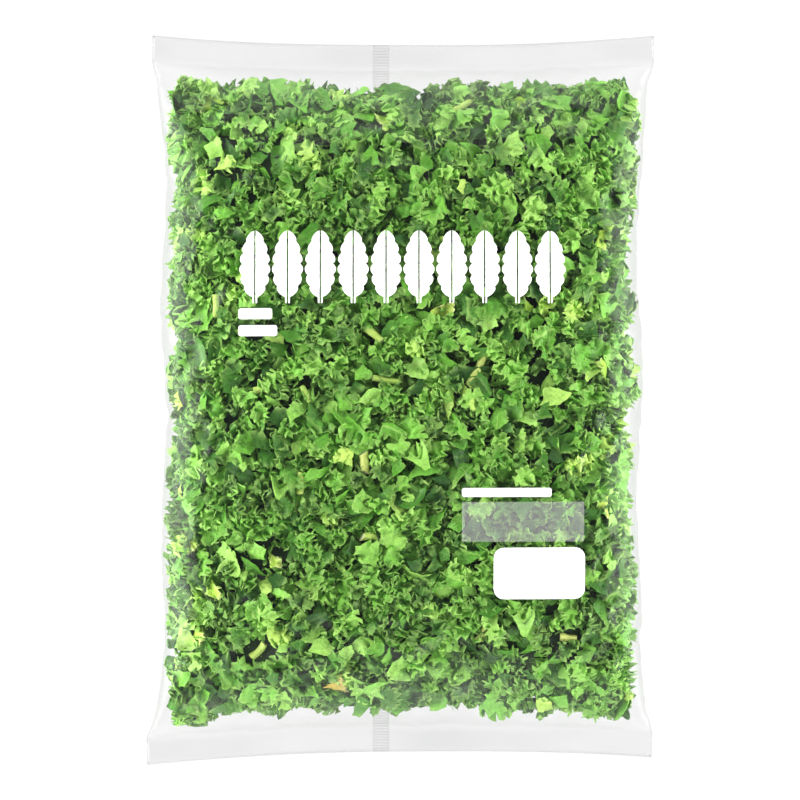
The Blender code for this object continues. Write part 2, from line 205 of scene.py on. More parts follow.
# %% [markdown]
# The bag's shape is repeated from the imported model's own formulas, because the film and the filling both
# follow it: a flat tube of film, sealed across both ends, that bulges between them. Stations run from -1
# at the bottom seal to 1 at the top one.

# %% The shape of the filled bag
THICKNESS = 58 * MM
WAIST = {1: 118.3 * MM, -1: 117.3 * MM}
CORNERS = {
    (1, 1): (126.9 * MM, 182.2 * MM),
    (1, -1): (124.2 * MM, 182.5 * MM),
    (-1, 1): (125.8 * MM, 179.0 * MM),
    (-1, -1): (126.9 * MM, 182.5 * MM),
}
END_BOW = 4.8 * MM
BOW_POWER = 2.3
SEAL_WIDTH = 13.5 * MM
SEAL_HEIGHT = 15 * MM
SEAL_DROOP = 4 * MM
SEAL_WAVE = 1.2 * MM
SEAL_WAVE_LENGTH = 23 * MM
HALF_INSIDE = CORNERS[1, -1][1] - SEAL_WIDTH
SIDE_WAVE = 1.4 * MM
SIDE_WAVE_LENGTH = 118 * MM
SIDE_WAVE_POWER = 4
FLARE_POWER = 6.5
FULLNESS_POWER = 0.6
FRONT_END_POWER = 3
BACK_END_POWER = 5
BASE_FULLNESS = 1.08
EDGE_SHARE = 0.41
CROWDING = 0.74
FRONT_POWER = 2.7
BACK_POWER = 3.6
LAYER_GAP = 0.12 * MM
REST_HEIGHT = 0.35 * MM
QUARTER_STEPS = 180


def smooth(t):
    t = np.clip(t, 0, 1)
    return t * t * (3 - 2 * t)


def running_length(x, y):
    """The length along a line of points, at each point."""
    return np.concatenate([[0], np.cumsum(np.hypot(np.diff(x), np.diff(y)))])


def end_reach(x, s):
    """How far from the middle the cut edge of the end seal lies at x."""
    end = 1 if s >= 0 else -1
    left, right = CORNERS[end, -1], CORNERS[end, 1]
    across = (x + left[0]) / (left[0] + right[0])
    off_centre = np.minimum(np.abs(2 * across - 1), 1)
    return left[1] + (right[1] - left[1]) * across - END_BOW * (1 - off_centre**BOW_POWER)


def station_y(x, s):
    """y at x on station s, which bows as its end of the bag does."""
    return s * (end_reach(x, s) - SEAL_WIDTH)


def half_width(s, side):
    corner = CORNERS[1 if s >= 0 else -1, side][0]
    y = s * HALF_INSIDE
    wave = SIDE_WAVE * math.sin(math.tau * y / SIDE_WAVE_LENGTH + side) * (1 - abs(s) ** SIDE_WAVE_POWER)
    return WAIST[side] + (corner - WAIST[side]) * abs(s) ** FLARE_POWER + wave


def seal_height(x, s, out=0.0):
    """The height of the flat end seal at x, out metres beyond its inner edge."""
    wave = SEAL_WAVE * np.sin(x / SEAL_WAVE_LENGTH + 2 * (s > 0)) * smooth(out / SEAL_WIDTH)
    return SEAL_HEIGHT - SEAL_DROOP * out / SEAL_WIDTH + wave


def section(s, shares):
    """x and z at these shares of the way round the film at station s, from the middle of the front.

    The folds down the two sides are at shares 1/4 and 3/4, and the middle of the back is at 1/2.
    """
    turn = math.pi / 2 - np.linspace(0, math.tau, 4 * QUARTER_STEPS + 1)
    half = np.where(np.cos(turn) >= 0, half_width(s, 1), half_width(s, -1))
    share = np.abs(np.cos(turn)) ** CROWDING
    fullness = (1 - abs(s) ** FRONT_END_POWER) ** FULLNESS_POWER
    base_fullness = BASE_FULLNESS * (1 - abs(s) ** BACK_END_POWER) ** FULLNESS_POWER
    top = SEAL_HEIGHT + (THICKNESS - SEAL_HEIGHT) * fullness + LAYER_GAP
    base = SEAL_HEIGHT * (1 - base_fullness) - LAYER_GAP
    edge = SEAL_HEIGHT + (EDGE_SHARE * THICKNESS - SEAL_HEIGHT) * fullness
    front = edge + (top - edge) * np.clip(1 - share**FRONT_POWER, 0, 1) ** (1 / FRONT_POWER)
    back = edge - (edge - base) * np.clip(1 - share**BACK_POWER, 0, 1) ** (1 / BACK_POWER)
    x = np.sign(np.cos(turn)) * share * half
    z = np.maximum(np.where(np.sin(turn) >= 0, front, back), REST_HEIGHT)
    running = running_length(x, z)
    where = np.interp(shares, np.linspace(0, 1, 5), running[::QUARTER_STEPS])
    return np.interp(where, running, x), np.interp(where, running, z)


waist = running_length(*section(0, np.linspace(0, 1, 4 * QUARTER_STEPS + 1)))[-1]
print("film round the waist:", round(waist / MM, 1), "mm")


# %% [markdown]
# The film is thin polypropylene. On the real bag it wrinkles because a flat tube has to close round a
# full heap. It starts here as a smooth tube a little smaller than it could be, and Blender's cloth makes
# the wrinkles: its rest lengths are a few percent longer than the tube, so the spare film has to buckle.
# How far each point may move is capped, so the bag keeps its measured outline, and the seals are pinned.
# Towards both ends the side folds are creased, and the four corners are sharp.

# %% The smooth tube of film
FILM_PITCH = 4 * MM
FILM_COLUMNS = 128
FOLD_COLUMNS = (FILM_COLUMNS // 4, 3 * FILM_COLUMNS // 4)
FOLD_START = 0.8
FOLD_EASE = 0.2
SEAL_ROWS = 3
DENSE_STATIONS = 1201


def film_stations():
    """Stations an even distance apart along the middle of the front, and the rows of both seals."""
    dense = np.linspace(-1, 1, DENSE_STATIONS)
    running = running_length(*np.array([(station_y(0, s), section(s, [0])[1][0]) for s in dense]).T)
    count = round(running[-1] / FILM_PITCH)
    even = np.interp(np.linspace(0, running[-1], count + 1), running, dense)
    seal = [SEAL_WIDTH * (i + 1) / SEAL_ROWS for i in range(SEAL_ROWS)]
    bottom = [(-1, out) for out in reversed(seal)]
    return [*bottom, *[(s, 0.0) for s in even], *[(1, out) for out in seal]]


def film_point_rows():
    """The points of the smooth film, row by row from the bottom cut edge to the top one."""
    shares = np.arange(FILM_COLUMNS) / FILM_COLUMNS
    rows = []
    for s, out in film_stations():
        x, z = section(s, shares)
        y = station_y(x, s) + math.copysign(out, s)
        rows.append(np.stack([x, y, z + seal_height(x, s, out) - SEAL_HEIGHT], axis=1))
    return rows


def crease_of(edge, points):
    """How sharp an edge of the tube is: the folds grow sharp towards the ends, and nothing else does."""
    a, b = (number % FILM_COLUMNS for number in edge.vertices)
    if a != b or a not in FOLD_COLUMNS:
        return 0.0
    return float(smooth((abs(points[edge.vertices[0]][1]) / HALF_INSIDE - FOLD_START) / FOLD_EASE))


def build_film_tube():
    rows = film_point_rows()
    points = np.concatenate(rows)
    tube = link(new_object("film_tube", points.tolist(), grid_faces(len(rows), FILM_COLUMNS, closed=True)))
    store(tube, "crease_edge", [crease_of(edge, points) for edge in tube.data.edges], "EDGE")
    corners = {row * FILM_COLUMNS + column for row in (0, len(rows) - 1) for column in FOLD_COLUMNS}
    store(tube, "crease_vert", [float(number in corners) for number in range(len(points))])
    return tube, len(rows)


film_tube, film_rows = build_film_tube()
print("film tube:", film_rows, "rows of", FILM_COLUMNS, "points")

# %% Let the spare film buckle
SPARE_FILM = 0.045
HELD_SHARE = 0.15
START_NOISE = 0.15 * MM
MOST_MOVE = 3.2 * MM
LEAST_SHARE = 0.12
SEAL_CALM = 38 * MM
SIM_FRAMES = 18
FILM_CLOTH = {
    "pin_stiffness": 1,
    "shrink_min": -SPARE_FILM,
    "quality": 6,
    "mass": 0.02,
    "tension_stiffness": 30,
    "compression_stiffness": 30,
    "shear_stiffness": 8,
    "bending_stiffness": 0.02,
    "tension_damping": 10,
    "compression_damping": 10,
}


def pin_film(obj, rows):
    """Pins both seals, holds the rest a little, and moves it by a random trace to start the buckling."""
    count = rows * FILM_COLUMNS
    sealed = (SEAL_ROWS + 1) * FILM_COLUMNS
    pinned = obj.vertex_groups.new(name="sealed")
    pinned.add(list(range(count)), HELD_SHARE, "REPLACE")
    pinned.add([*range(sealed), *range(count - sealed, count)], 1, "REPLACE")
    rng = random.Random(SEED)
    for v in obj.data.vertices[sealed:-sealed]:
        v.co += Vector([rng.uniform(-START_NOISE, START_NOISE) for _ in range(3)])
    return pinned


def settle_film(obj, rows):
    """Runs the cloth on the tube and moves its points, each no further than the cap."""
    start = np.array([v.co for v in obj.data.vertices])
    pinned = pin_film(obj, rows)
    cloth = obj.modifiers.new("cloth", "CLOTH")
    cloth.settings.vertex_group_mass = pinned.name
    for name, value in FILM_CLOTH.items():
        setattr(cloth.settings, name, value)
    cloth.settings.effector_weights.gravity = 0
    cloth.collision_settings.use_collision = False
    cloth.point_cache.frame_start = 1
    cloth.point_cache.frame_end = SIM_FRAMES
    scene = bpy.context.scene
    for number in range(1, SIM_FRAMES + 1):
        scene.frame_set(number)
    evaluated = obj.evaluated_get(bpy.context.evaluated_depsgraph_get())
    moved = np.array([v.co for v in evaluated.to_mesh().vertices]) - start
    obj.modifiers.remove(cloth)
    scene.frame_set(1)
    distance = np.linalg.norm(moved, axis=1, keepdims=True)
    from_seal = smooth((HALF_INSIDE - np.abs(start[:, 1:2])) / SEAL_CALM)
    most = MOST_MOVE * (LEAST_SHARE + (1 - LEAST_SHARE) * from_seal)
    limited = most * np.tanh(distance / most)
    placed = start + moved * limited / np.maximum(distance, 1e-9)
    placed[:, 2] = np.maximum(placed[:, 2], REST_HEIGHT)
    obj.data.vertices.foreach_set("co", placed.astype(np.float32).ravel())
    obj.data.update()
    print("the film moved", round(float(distance.mean()) / MM, 2), "mm on average before the cap")


settle_film(film_tube, film_rows)


# %% [markdown]
# The film's inner side is what every leaf is pressed against, so the finished tube is kept twice: as a
# single skin that the leaf is placed by, and as the visible film, which gets its wall thickness. The wall
# is drawn 0.1 mm thick, close to the real 0.03 to 0.05 mm, and it reads as nothing in front of the leaf.

# %% The skin
def build_skin(tube):
    """The tube once subdivided, as a plain mesh."""
    finer = tube.modifiers.new("finer", "SUBSURF")
    finer.levels = 1
    finer.render_levels = 1
    skin = keep_mesh(tube, "skin")
    skin.data.shade_smooth()
    return skin


skin = build_skin(film_tube)
skin_search = BVHTree.FromObject(skin, bpy.context.evaluated_depsgraph_get())
print("skin:", triangles(skin), "triangles")


# %% [markdown]
# Polypropylene film is clear, so it is seen by its gloss: softboxes mirror in it where it slopes towards
# them, as white veils along the sides and ends. Each face of the wall stops a few percent of the light,
# more where it is seen at a slant, and a little more in the seals. Seen square on, that share is grey, so
# that it doesn't fog the leaf. At a slant the light crosses more film, so more is stopped, and the film's
# colour there turns whiter by the angle at which it is seen: a painted reflection of the softboxes, added
# to the real gloss. Alpha thins the gloss as well as the body of a see-through surface, so the IOR is set
# above the plastic's 1.49 to bring the reflections back.

# %% Material: clear cast polypropylene film
CREASE_SIZE = 7 * MM
CREASE_DEPTH = 0.6 * MM
CLOUD_SIZE = 45 * MM
FILM_GREY = "34363a"
# Over these slopes the film's colour turns from grey to this white, a painted reflection of the softboxes.
PAINTED_VEIL_WHITE = "8c908c"
PAINTED_VEIL_SLOPES = (0.06, 0.3)
FACE_STOPS = (0.034, 0.046)
SEAL_STOPS = 0.018
SLANT_STOPS = 0.13
SLANT_POWER = 1.2


def make_film_material():
    material, tree = new_material("clear cast polypropylene film")
    place = add(tree, "ShaderNodeTexCoord").outputs["Object"]
    creases = add(tree, "ShaderNodeTexNoise", {"Vector": place, "Scale": 1 / CREASE_SIZE, "Detail": 3})
    bump = add(tree, "ShaderNodeBump", {"Height": creases, "Strength": 0.16, "Distance": CREASE_DEPTH})
    slope = add(tree, "ShaderNodeLayerWeight", {"Blend": 0.5}).outputs["Facing"]
    # Past the clear slopes the colour turns white by the angle at which the film is seen: a painted
    # reflection.
    clear_up_to, painted_veil_from = PAINTED_VEIL_SLOPES
    painted_veil = add(
        tree, "ShaderNodeMapRange", {"Value": slope, "From Min": clear_up_to, "From Max": painted_veil_from}
    )
    body = add(
        tree, "ShaderNodeMix",
        {"Factor": painted_veil, MIX_FIRST: colour(FILM_GREY), MIX_SECOND: colour(PAINTED_VEIL_WHITE)},
        data_type="RGBA",
    )
    clouds = add(tree, "ShaderNodeTexNoise", {"Vector": place, "Scale": 1 / CLOUD_SIZE, "Detail": 2})
    least, most = FACE_STOPS
    haze = add(
        tree, "ShaderNodeMapRange",
        {"Value": clouds, "From Min": 0.35, "From Max": 0.7, "To Min": least, "To Max": most},
    )
    weld = add(tree, "ShaderNodeAttribute", attribute_name="weld").outputs["Fac"]
    welded = add(tree, "ShaderNodeMath", {0: weld, 1: SEAL_STOPS, 2: haze}, operation="MULTIPLY_ADD")
    grown = add(tree, "ShaderNodeMath", {0: slope, 1: SLANT_POWER}, operation="POWER")
    stopped = add(
        tree, "ShaderNodeMath", {0: grown, 1: SLANT_STOPS, 2: welded},
        operation="MULTIPLY_ADD", use_clamp=True,
    )
    shader = add(
        tree, "ShaderNodeBsdfPrincipled",
        {"Base Color": body, "Roughness": 0.2, "IOR": 1.9, "Alpha": stopped, "Normal": bump},
    )
    add(tree, "ShaderNodeOutputMaterial", {"Surface": shader})
    return material


film_material = make_film_material()
print(film_material.name, "with", len(film_material.node_tree.nodes), "nodes")


# %% Build the film
FILM_WALL = 0.1 * MM
WELD_EASE = 1.5 * MM
CUT_LINE = 1.8
CUT_LINE_WIDTH = 2.2 * MM


def weld_share(x, y):
    """1 in the end seals, where the two layers of film are one, more at the cut edge, and 0 elsewhere."""
    from_cut = end_reach(x, y) - abs(y)
    sealed = smooth((SEAL_WIDTH - from_cut) / WELD_EASE + 0.5)
    return float(sealed + CUT_LINE * smooth(1 - from_cut / CUT_LINE_WIDTH))


def build_film():
    film = link(skin.copy())
    film.data = skin.data.copy()
    store(film, "weld", [weld_share(v.co.x, v.co.y) for v in film.data.vertices])
    return dress(give_wall(film, "film_bag", FILM_WALL), film_material, "bag_film")


film = build_film()
print("film:", triangles(film), "triangles")


# %% [markdown]
# Curly kale is cut across into strips and shards. A shard from the middle of a leaf is smooth, with a
# light vein, and has straight cut sides. One from the margin keeps the leaf's own edge, which has grown
# longer than the leaf behind it and so folds into frills. Each kind of piece is drawn as a flat outline,
# filled with triangles and then bent: frills that fade with the distance from the margin, a roll, a fold
# along the vein, and small blisters. Some dozens of kinds are enough for a heap of thousands. In these
# cells a piece is measured in mm, and ranges are the limits of a random draw.

# %% Draw one flat piece
LONG_FOR_WIDE = (1, 1.4)
CORNER_SHIFT = 0.3
FULL_REACH, CUT_BACK_REACH = (0.85, 1), (0.36, 0.82)
CUT_HOLLOW = (-0.1, 0.04)
CUT_UNEVENNESS = 0.3
TOOTH_LENGTH, TOOTH_HEIGHT = (1.8, 2.6), (0.4, 1.1)
TOOTH_LEANS = (0.34, 0.66)
TOOTH_POWER = 0.65
FRILLED_TEETH = 0.8
MARGIN_ARC = 0.12


def corner_ring(rng, radius, count):
    """The corners of a piece, rather longer than wide, with every second one cut well back."""
    turn = rng.uniform(0, math.tau)
    stretch = rng.uniform(*LONG_FOR_WIDE)
    ring = []
    for i in range(count):
        angle = turn + math.tau * (i + rng.uniform(-CORNER_SHIFT, CORNER_SHIFT)) / count
        reach = radius * rng.uniform(*(FULL_REACH if i % 2 else CUT_BACK_REACH))
        ring.append(Vector((stretch * reach * math.cos(angle), reach * math.sin(angle) / stretch)))
    return ring


def out_of_side(a, b):
    """The direction out of the piece across its side from a to b."""
    return Vector(((b - a).y, -(b - a).x)).normalized()


def cut_side(a, b, rng, step):
    """A knife cut from a to b, in points about one step apart, a little hollow and uneven."""
    count = max(round((b - a).length / step), 1)
    out = out_of_side(a, b)
    hollow = rng.uniform(*CUT_HOLLOW) * (b - a).length
    points = [a]
    for i in range(1, count):
        uneven = hollow * math.sin(math.pi * i / count) + rng.uniform(-CUT_UNEVENNESS, CUT_UNEVENNESS)
        points.append(a.lerp(b, i / count) + out * uneven)
    return points


def grown_side(a, b, rng, step, frill):
    """The leaf's own edge from a to b: an arc with uneven, leaning teeth, deeper where it is frilled."""
    length = (b - a).length
    out = out_of_side(a, b)
    teeth = max(round(length / rng.uniform(*TOOTH_LENGTH)), 1)
    heights = [rng.uniform(*TOOTH_HEIGHT) * (1 + FRILLED_TEETH * frill) for _ in range(teeth)]
    per_tooth = max(round(length / teeth / step), 3)
    lean = rng.choice(TOOTH_LEANS)
    points = []
    for tooth, height in enumerate(heights):
        for i in range(per_tooth):
            along = (tooth + i / per_tooth) / teeth
            t = i / per_tooth
            point = min(t / lean, (1 - t) / (1 - lean)) ** TOOTH_POWER
            rise = height * point + MARGIN_ARC * length * math.sin(math.pi * along)
            points.append(a.lerp(b, along) + out * rise)
    return points


# %% Fill an outline with triangles
ROW_PITCH = 0.87
JITTER_X, JITTER_Y = 0.15, 0.12
EDGE_CLEARANCE = 0.55
MERGE_DISTANCE = 1e-4


def fill_outline(outline, rng, step):
    """Triangles over an outline: its own points, and jittered points of an even lattice inside it."""
    ring = np.array([tuple(p) for p in outline])
    following = np.roll(ring, -1, axis=0)
    span = following - ring
    rise = np.where(span[:, 1] == 0, 1, span[:, 1])
    low, high = ring.min(0), ring.max(0)
    inner = []
    for row in range(int((high[1] - low[1]) / (ROW_PITCH * step)) + 1):
        for column in range(int((high[0] - low[0]) / step) + 2):
            x = low[0] + (column + 0.5 * (row % 2) + rng.uniform(-JITTER_X, JITTER_X)) * step
            y = low[1] + (row * ROW_PITCH + rng.uniform(-JITTER_Y, JITTER_Y)) * step
            p = np.array((x, y))
            t = np.clip(((p - ring) * span).sum(1) / (span**2).sum(1), 0, 1)
            gap = np.hypot(*(ring + span * t[:, None] - p).T).min()
            above = (ring[:, 1] > y) != (following[:, 1] > y)
            crossing = ring[:, 0] + (y - ring[:, 1]) / rise * span[:, 0]
            inside = np.count_nonzero(above & (x < crossing)) % 2 == 1
            if inside and gap > EDGE_CLEARANCE * step:
                inner.append(Vector((x, y)))
    edges = [(i, (i + 1) % len(outline)) for i in range(len(outline))]
    points, _, faces, *_ = geometry.delaunay_2d_cdt([*outline, *inner], edges, [], 1, MERGE_DISTANCE)
    return [Vector(p) for p in points], faces


# %% Bend it and keep it as a mesh
NO_MARGIN = 99
FRILL_WAVES = (
    # height without frills, and what full frills add; reach inwards, and what they add; length
    (1.0, 1.5, 3.2, 2.4, (4.6, 7)),
    (0.5, 0.8, 1.6, 1.4, (2.2, 3.0)),
)
WAVE_LEAN = 0.45
VEIN_FOLD = (-0.35, 0.5)
ROLL_RADIUS = (6, 26)
BLISTER_HEIGHT = 0.55
BLISTER_SIZES = (3.2, 1.6)
NOISE_SPAN = 90
EDGE_HIGHLIGHT_FADE = 1.1
LEAF_SPAN = 9
OWN_SIDE_STEP = 0.7


def near_margin(points, margin):
    """For each point: its distance from the leaf's own edge, how far along that edge, and its direction."""
    if len(margin) < 2:
        return [(NO_MARGIN, 0, Vector((1, 0)))] * len(points)
    ring = np.array([tuple(p) for p in margin])
    span = np.diff(ring, axis=0)
    lengths = np.hypot(*span.T)
    running = running_length(*ring.T)
    found = []
    for p in points:
        q = np.array(tuple(p))
        t = np.clip(((q - ring[:-1]) * span).sum(1) / lengths**2, 0, 1)
        gaps = np.hypot(*(ring[:-1] + span * t[:, None] - q).T)
        k = int(gaps.argmin())
        found.append((gaps[k], running[k] + t[k] * lengths[k], Vector(span[k] / lengths[k])))
    return found


def bend_piece(points, near, rng, frill):
    """The points of a flat piece, frilled along its own edge, blistered, folded and rolled."""
    waves = [
        (height + more * frill, fade + wider * frill, rng.uniform(*length), rng.uniform(0, math.tau))
        for height, more, fade, wider, length in FRILL_WAVES
    ]
    offset = Vector([rng.uniform(0, NOISE_SPAN) for _ in range(3)])
    fold = rng.uniform(*VEIN_FOLD)
    roll_radius = rng.choice((-1, 1)) * rng.uniform(*ROLL_RADIUS)
    roll_turn = rng.uniform(0, math.pi)
    across = Vector((math.cos(roll_turn), math.sin(roll_turn)))
    bent = []
    for p, (gap, along, direction) in zip(points, near):
        z = 0.0
        slide = 0.0
        for height, fade, length, phase in waves:
            share = height * math.exp(-gap / fade)
            z += share * math.sin(math.tau * along / length + phase)
            slide -= WAVE_LEAN * share * math.sin(2 * (math.tau * along / length + phase))
        flat = p + direction * slide
        large, small = (noise.noise(p.to_3d() / size + offset) for size in BLISTER_SIZES)
        z += BLISTER_HEIGHT * (large + 0.5 * small) + fold * abs(flat.y)
        distance = flat.dot(across)
        rest = flat - across * distance
        angle = distance / roll_radius
        rolled = across * (roll_radius * math.sin(angle)) + rest
        bent.append(Vector((rolled.x, rolled.y, z + roll_radius * (1 - math.cos(angle)))))
    return bent


def make_piece(name, rng, radius, corners, own_sides, frill, step):
    """One kind of cut piece: a single layer in metres, with a map in tenths of a metre of the whole leaf."""
    ring = corner_ring(rng, radius, corners)
    first_own = rng.randrange(corners)
    own = {(first_own + i) % corners for i in range(own_sides)}
    outline = []
    margin = []
    for i in range(corners):
        a, b = ring[i], ring[(i + 1) % corners]
        if i in own:
            side = grown_side(a, b, rng, step * OWN_SIDE_STEP, frill)
            margin += side
        else:
            side = cut_side(a, b, rng, step)
        outline += side
    points, faces = fill_outline(outline, rng, step)
    near = near_margin(points, margin)
    piece = new_object(name, [p * MM for p in bend_piece(points, near, rng, frill)], faces)
    # The edge value is 1 at the leaf's own margin and fades inwards; the leaf materials paint the colour
    # lighter there, a painted highlight where the margin catches the light.
    store(piece, "edge", [math.exp(-gap / EDGE_HIGHLIGHT_FADE) for gap, *_ in near])
    leaf_place = Vector((rng.uniform(-LEAF_SPAN, LEAF_SPAN), rng.uniform(-LEAF_SPAN, LEAF_SPAN)))
    turn = Matrix.Rotation(rng.uniform(0, math.tau), 2)
    leaf_map = piece.data.uv_layers.new(name="leaf_map")
    for loop in piece.data.loops:
        leaf_map.data[loop.index].uv = (turn @ points[loop.vertex_index] + leaf_place) / 100
    return piece


# %% Make the kinds of piece
COARSE_STEP = 1.75
KINDS = (
    # word, count, radius in mm, corners, own sides, frill, step in mm
    ("shard", 24, (5, 9.5), (5, 7), 1, 0.0, 1.35),
    ("edge", 22, (5.5, 9), (5, 6), 3, 0.6, 1.1),
    ("frill", 26, (4.5, 7.5), (4, 6), 6, 1.0, 0.85),
)


def make_kinds(title, coarseness):
    """The collection of kinds. A coarser one, with larger triangles, is for what lies deep or underneath."""
    rng = random.Random(SEED)
    kinds = bpy.data.collections.new(title)
    for word, count, radius, corners, own_sides, frill, step in KINDS:
        for number in range(count):
            name = f"{title}_{word}_{number:02d}"
            size = rng.uniform(*radius)
            piece = make_piece(name, rng, size, rng.randint(*corners), own_sides, frill, step * coarseness)
            kinds.objects.link(piece)
    counts = [triangles(piece) for piece in kinds.objects]
    print(len(counts), title, "kinds of", min(counts), "to", max(counts), "triangles")
    return kinds


fine_kinds = make_kinds("fine", 1)
coarse_kinds = make_kinds("coarse", COARSE_STEP)


# %% [markdown]
# A kale leaf is matt green with a waxy bloom, which spreads the light and greys it a little. Lighter veins
# branch from the rib at about 50 degrees, and a fine net runs between them. Each piece has its own green,
# from blue-green to yellow-green, by a random value that the scatter stores on it. The veins follow the
# map of the whole leaf that every kind of piece was cut from, so that they run off its cut sides. They are
# strong on some pieces and faint on others, as on the two faces of a leaf.

# %% Veins of the whole leaf, in mm
VEIN_SPACING = 11.0
VEIN_SLOPE = 0.85
RIB_HALF_WIDTH = 0.7
VEIN_HALF_WIDTH = 0.26
NET_SIZE = 2.6
SWAY = 3
SWAY_LENGTH = 1 / 0.16


def vein_mask(tree):
    """1 on the rib and less on the side veins and the net, from the leaf map, in tenths of a metre."""
    leaf = add(tree, "ShaderNodeUVMap", uv_map="leaf_map")
    in_mm = add(tree, "ShaderNodeVectorMath", {0: leaf, "Scale": 100}, operation="SCALE")
    sway = add(tree, "ShaderNodeTexNoise", {"Vector": in_mm, "Scale": 1 / SWAY_LENGTH, "Detail": 1})
    moved = add(
        tree, "ShaderNodeVectorMath", {0: sway.outputs["Color"], 1: (SWAY, SWAY, 0), 2: in_mm},
        operation="MULTIPLY_ADD",
    )
    axes = add(tree, "ShaderNodeSeparateXYZ", {0: moved}).outputs
    off_rib = add(tree, "ShaderNodeMath", {0: axes["Y"]}, operation="ABSOLUTE")
    rib = add(
        tree, "ShaderNodeMapRange",
        {"Value": off_rib, "From Min": RIB_HALF_WIDTH * 1.5, "From Max": RIB_HALF_WIDTH * 0.5},
    )
    along = add(tree, "ShaderNodeMath", {0: off_rib, 1: -VEIN_SLOPE, 2: axes["X"]}, operation="MULTIPLY_ADD")
    folded = add(tree, "ShaderNodeMath", {0: along, 1: VEIN_SPACING / 2}, operation="PINGPONG")
    inside, outside = VEIN_HALF_WIDTH * 0.5, VEIN_HALF_WIDTH * 1.6
    side = add(
        tree, "ShaderNodeMapRange",
        {"Value": folded, "From Min": outside, "From Max": inside, "To Max": 0.75},
    )
    net = add(
        tree, "ShaderNodeTexVoronoi", {"Vector": in_mm, "Scale": 1 / NET_SIZE}, feature="DISTANCE_TO_EDGE"
    )
    fine = add(tree, "ShaderNodeMapRange", {"Value": net, "From Min": 0.09, "From Max": 0.02, "To Max": 0.3})
    both = add(tree, "ShaderNodeMath", {0: rib, 1: side}, operation="MAXIMUM")
    return add(tree, "ShaderNodeMath", {0: both, 1: fine}, operation="MAXIMUM")


# %% Material: curly kale leaf, raw and cut
MOTTLE_SIZE = 5 * MM
MOTTLE_LIGHT = (0.82, 1.16)
# The crinkles' hollows are painted darker and their rises lighter, by these shares.
CRINKLE_SIZE = 1.3 * MM
CRINKLE_PAINTED_SHADE = (0.81, 1.17)
CRINKLE_DEPTH = 0.6 * MM
VEIN_CHANCE_TURN = 7.3
VEIN_STRENGTHS = (0.12, 0.7)
EDGE_HIGHLIGHT = 0.45


def make_leaf_material(name, greens, vein, roughness):
    """A leaf finish: greens are stops of its ramp, from the darkest piece to the lightest."""
    material, tree = new_material(name)
    tint = add(tree, "ShaderNodeAttribute", attribute_name="tint").outputs["Fac"]
    ramp = add(tree, "ShaderNodeValToRGB", {"Fac": tint})
    stops = ramp.color_ramp.elements
    while len(stops) < len(greens):
        stops.new(0.5)
    for stop, (where, green) in zip(stops, greens):
        stop.position = where
        stop.color = colour(green)
    place = add(tree, "ShaderNodeTexCoord").outputs["Object"]
    mottle = add(tree, "ShaderNodeTexNoise", {"Vector": place, "Scale": 1 / MOTTLE_SIZE, "Detail": 3})
    # The fine crinkle noise also lifts the bump below, so the colour is darker in its hollows and lighter on
    # its rises: painted shade and light in the crinkles, times the broad mottle of the leaf's own tone.
    crinkle = add(tree, "ShaderNodeTexNoise", {"Vector": place, "Scale": 1 / CRINKLE_SIZE, "Detail": 2})
    broad, close = (
        add(
            tree, "ShaderNodeMapRange",
            {"Value": pattern, "From Min": 0.3, "From Max": 0.7, "To Min": darkest, "To Max": lightest},
        )
        for pattern, (darkest, lightest) in ((mottle, MOTTLE_LIGHT), (crinkle, CRINKLE_PAINTED_SHADE))
    )
    light = add(tree, "ShaderNodeMath", {0: broad, 1: close}, operation="MULTIPLY")
    mottled_and_crinkle_shaded = add(tree, "ShaderNodeHueSaturation", {"Color": ramp, "Value": light})
    other = add(tree, "ShaderNodeMath", {0: tint, 1: VEIN_CHANCE_TURN}, operation="MULTIPLY")
    chance = add(tree, "ShaderNodeMath", {0: other}, operation="FRACT")
    shown = add(
        tree, "ShaderNodeMapRange",
        {
            "Value": chance, "From Min": 0.5, "From Max": 0.9,
            "To Min": VEIN_STRENGTHS[0], "To Max": VEIN_STRENGTHS[1],
        },
    )
    strength = add(tree, "ShaderNodeMath", {0: vein_mask(tree), 1: shown}, operation="MULTIPLY")
    veined = add(
        tree, "ShaderNodeMix", {"Factor": strength, MIX_FIRST: mottled_and_crinkle_shaded, MIX_SECOND: colour(vein)},
        data_type="RGBA",
    )
    # Towards its own margin a piece is mixed towards the vein's colour: a painted highlight along the edges
    # that catch the light.
    edge = add(tree, "ShaderNodeAttribute", attribute_name="edge").outputs["Fac"]
    edge_highlight_share = add(tree, "ShaderNodeMath", {0: edge, 1: EDGE_HIGHLIGHT}, operation="MULTIPLY")
    edge_highlighted = add(
        tree, "ShaderNodeMix", {"Factor": edge_highlight_share, MIX_FIRST: veined, MIX_SECOND: colour(vein)},
        data_type="RGBA",
    )
    raised = add(tree, "ShaderNodeMath", {0: strength, 1: 0.6, 2: crinkle}, operation="MULTIPLY_ADD")
    bump = add(tree, "ShaderNodeBump", {"Height": raised, "Strength": 0.6, "Distance": CRINKLE_DEPTH})
    shader = add(
        tree, "ShaderNodeBsdfPrincipled",
        {"Base Color": edge_highlighted, "Roughness": roughness, "IOR": 1.3, "Normal": bump},
    )
    add(tree, "ShaderNodeOutputMaterial", {"Surface": shader})
    return material


